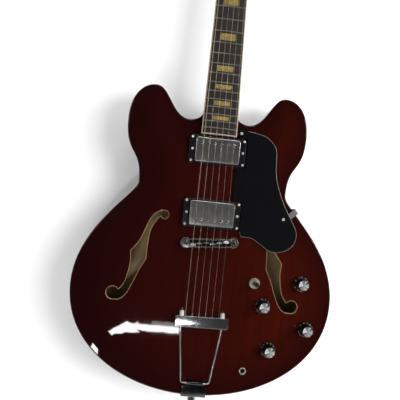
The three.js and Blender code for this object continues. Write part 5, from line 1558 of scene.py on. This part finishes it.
toggle = {"nut": [(3.3, -8), (5.8, -8), (5.8, 0.3), (8.7, 0.3), (8.7, 1.6), (8.3, 2.3), (7.3, 2.7),
                  (6.2, 2.75), (5.9, 3.1), (5.2, 3.4), (3.6, 3.4), (3.3, 3.1), (3.3, -8)],
          "reach": 8.7, "teeth": 48, "valley": 0.965, "box": ((-7, -11, -29.5), (7, 11, -6.2)),
          "lever": [(0, -4), (1.7, -4), (1.7, -2.1), (2.6, -1.2), (2.775, 0), (2.6, 1.2), (1.7, 2.2),
                    (1.7, 4.2), (2.6, 4.2), (3.0, 5), (3.75, 9), (3.7, 10.6), (3.1, 12.1), (1.8, 12.9),
                    (0, 13)],
          "tip": 4.1, "pivot": 1.9, "turn": -22, "tilt": 13}


def makeToggle():
    x, y = fittings["toggle"]
    surface = highestUnder(x, y, toggle["reach"])
    nut = addTurned(toggle["nut"], toggle["teeth"])
    notchTeeth(nut, toggle["teeth"], toggle["valley"], 8)
    box = addBlock(*toggle["box"], 0.6)
    settle(join([dress(nut, washerNickel, smooth=25), dress(box, bareSteel)]), "toggle_switch",
           bodyFrame @ shifted(x, y, surface))
    lever = dress(addTurned(toggle["lever"], 32), chrome, leverPlastic, smooth=50)
    paintFaces(lever, lambda centre, normal: centre.z > toggle["tip"], 1)
    place = (shifted(x, y, surface + toggle["pivot"]) @ rotated(math.radians(toggle["turn"]))
             @ rotated(math.radians(toggle["tilt"]), "Y"))
    settle(lever, "toggle_lever", bodyFrame @ place, "toggle_lever")


jack = {"bore": 3.3, "nut": 5.75, "nutHeights": (0.3, 1.7), "reach": 5.8, "contact": (-14, -9),
        "collar": [(3.3, -29), (6.4, -29), (6.4, -10), (4.7, -9.6), (4.7, 1.6), (4.4, 2.2), (3.5, 2.2),
                   (3.3, 2.0), (3.3, -29)]}


def makeJack():
    x, y = fittings["jack"]
    corners = [math.tau * i / 6 for i in range(6)]
    nut = addPlate([(jack["nut"] * math.cos(a), jack["nut"] * math.sin(a)) for a in corners],
                   *jack["nutHeights"], 0.35, 2, 20)
    cutWith(nut, addPin(jack["bore"], 0, 0, -30, 30, 36))
    dress(nut, darkScrew)
    collar = dress(addTurned(jack["collar"], 40), nickel)
    contact = dress(addPin(jack["bore"], 0, 0, *jack["contact"]), blackPlastic)
    settle(join([collar, nut, contact]), "output_jack",
           bodyFrame @ shifted(x, y, highestUnder(x, y, jack["reach"])))


for name, (x, y) in fittings["knobs"].items():
    makeKnob(name, x, y)
makeToggle()
makeJack()
print("stage: controls made")


# Strings

def stringRoute(string, radius):
    side, postX, postY = tunerPlace(string)
    x, nutX = stringX(string), stringX(string, "nutSpread")
    slant = math.tan(math.radians(frames["bridgeSlant"]))
    saddleY = (frames["bridgeY"] + slant * (x - frames["bridgeX"])
               + strings["offsets"][string] * strings["travel"])
    barY, halfBar = tail["barY"], tail["bar"][1]
    headInBody = neckInBody @ headInNeck
    points = [Vector((x, barY - halfBar, tail["height"])), Vector((x, barY + halfBar, tail["height"])),
              Vector((x, saddleY, strings["saddleTop"] + crown(x) + radius + strings["above"])),
              neckInBody @ Vector((nutX, neckPlan["scale"], strings["nutHeight"])),
              headInBody @ Vector((nutX, 0, strings["nutHeight"]))]
    helix = tuners["waist"] + radius + 0.1
    away = Vector((postX - nutX, postY))
    start = math.atan2(away.y, away.x) + math.pi - side * math.acos(helix / away.length)
    for i in range(int(strings["turns"] * 16) + 1):
        angle = start - side * i / 16 * math.tau
        drop = i / 16 * (2 * radius + 0.12)
        points.append(headInBody @ Vector((postX + helix * math.cos(angle), postY + helix * math.sin(angle),
                                           tuners["wrapHeight"] - drop)))
    return points


for string, gauge in enumerate(strings["gauges"]):
    piece = addTube(stringRoute(string, gauge / 2), gauge / 2, 12)
    dress(piece, woundString if string < 3 else plainString, smooth=60)
    settle(piece, f"string_{string + 1}")
bpy.data.objects.remove(screwHead)
print("stage: strings made")


# Stage: white wall close behind, pale floor, soft lights

stage = {"wallY": 0.068, "wallSize": 12.0, "wallZ": -0.4, "floorZ": -1.3, "floorFront": -0.3,
         "wallColour": "#f2f2f2", "floorColour": "#ececea", "glow": 0.1, "floorGlow": 0.12}


def stageMaterial(name, colour, glow, throughBack):
    # matt paint that glows a little where it is seen or reflected, not where it lights
    material, tree, shader = newMaterial(name, Roughness=0.9, Specular_IOR_Level=0.0,
                                         Base_Color=linear(colour), Emission_Color=(1, 1, 1, 1))
    rays = addNode(tree, "LightPath").outputs
    seen = maths(tree, "MAXIMUM", rays["Is Camera Ray"], rays["Is Glossy Ray"])
    seen = maths(tree, "MAXIMUM", seen, rays["Is Transmission Ray"])
    tree.links.new(maths(tree, "MULTIPLY", seen, glow), shader.inputs["Emission Strength"])
    if throughBack:
        geometry = addNode(tree, "NewGeometry")
        clear = addNode(tree, "BsdfTransparent")
        mix = addNode(tree, "MixShader", {0: geometry.outputs["Backfacing"], 1: shader.outputs[0],
                                          2: clear.outputs[0]})
        tree.links.new(mix.outputs[0], tree.nodes["Material Output"].inputs["Surface"])
    return material


def addPlane(name, size, material, **place):
    clearSelection()
    bpy.ops.mesh.primitive_plane_add(size=size, **place)
    plane = bpy.context.active_object
    plane.name = name
    plane.data.materials.append(material)
    return plane


paint = stageMaterial("paintedWall", stage["wallColour"], stage["glow"], True)
wall = addPlane("wall", stage["wallSize"], paint, location=(0, stage["wallY"], stage["wallZ"]),
                rotation=(math.pi / 2, 0, 0))
depth = stage["wallY"] - stage["floorFront"]
floor = addPlane("floor", 1, stageMaterial("paleFloor", stage["floorColour"], stage["floorGlow"], False),
                 location=(0, stage["wallY"] - depth / 2, stage["floorZ"]))
floor.scale = (stage["wallSize"], depth, 1)

# The lamps named strip have no aim of their own: they face straight back and draw the reflected band
lamps = {
    "key": {"at": (1.22, -1.45, -0.38), "aim": (0, 0, -0.6), "size": (1.2, 1.0), "power": 38.5,
            "mirrored": False},
    "top": {"at": (0.2, -0.75, 1.25), "aim": (0, 0, -0.6), "size": (0.9, 0.5), "power": 9},
    "side": {"at": (1.75, -0.65, 0.1), "aim": (0, 0, -0.6), "size": (0.5, 0.5), "power": 16},
    "left": {"at": (-1.5, -0.6, 0.0), "aim": (0, 0, -0.6), "size": (0.4, 0.6), "power": 4},
    "strip": {"at": (-0.035, -1.5, -1.144), "size": (0.19, 0.03), "power": 0.47},
    "stripHaze": {"at": (-0.005, -1.5, -1.12), "size": (0.13, 0.018), "power": 0.03},
    "stripBend": {"at": (-0.17, -1.5, -1.176), "size": (0.12, 0.056), "power": 0.5, "turn": 33.5},
    "stripEnd": {"at": (-0.475, -1.5, -1.472), "size": (0.815, 0.088), "power": 5.4, "turn": 43.6},
}
for name, plan in lamps.items():
    data = bpy.data.lights.new(name, "AREA")
    data.shape = "RECTANGLE"
    data.size, data.size_y = plan["size"]
    data.energy = plan["power"]
    lamp = bpy.data.objects.new(name, data)
    lamp.location = at = Vector(plan["at"])
    aim = (Vector(plan.get("aim", (at.x, 0, at.z))) - at).to_track_quat("-Z", "Y").to_matrix()
    lamp.rotation_euler = (aim @ Matrix.Rotation(math.radians(plan.get("turn", 0)), 3, "Z")).to_euler()
    lamp.visible_glossy = plan.get("mirrored", True)
    bpy.context.collection.objects.link(lamp)

# The room: white behind the guitar, a dim studio in front of it
world = bpy.data.worlds.new("studio")
world.use_nodes = True
tree = world.node_tree
background = tree.nodes["Background"]
rays = addNode(tree, "LightPath").outputs
direction = addNode(tree, "SeparateXYZ", {0: addNode(tree, "TexCoord").outputs["Generated"]})
room = ranged(tree, direction.outputs["Y"], -0.1, 0.3, 0.028, 0.9)
reflected = maths(tree, "MAXIMUM", rays["Is Glossy Ray"], rays["Is Transmission Ray"])
soft = addNode(tree, "Mix", {"Factor": reflected, "A": 0.33, "B": room})
seen = maths(tree, "MAXIMUM", soft.outputs[0], rays["Is Camera Ray"])
tree.links.new(seen, background.inputs["Strength"])
background.inputs["Color"].default_value = (1, 1, 1, 1)
bpy.context.scene.world = world

camera = {"at": (-0.07827, -0.77402, -0.58026), "right": (0.992, -0.0795, 0.0979),
          "down": (0.0992, 0.0121, -0.995), "forward": (0.0779, 0.9968, 0.0199), "lens": 43.2,
          "sensor": 36.0, "clip": 0.01}
lensData = bpy.data.cameras.new("camera")
lensData.sensor_width = camera["sensor"]
lensData.lens = camera["lens"]
lensData.clip_start = camera["clip"]
eye = bpy.data.objects.new("camera", lensData)
axes = Matrix((camera["right"], [-v for v in camera["down"]], [-v for v in camera["forward"]])).transposed()
eye.matrix_world = shifted(*camera["at"]) @ axes.to_quaternion().to_matrix().to_4x4()
bpy.context.collection.objects.link(eye)
bpy.context.scene.camera = eye
bpy.context.scene.view_settings.view_transform = "Standard"
print("stage: lights and camera set")
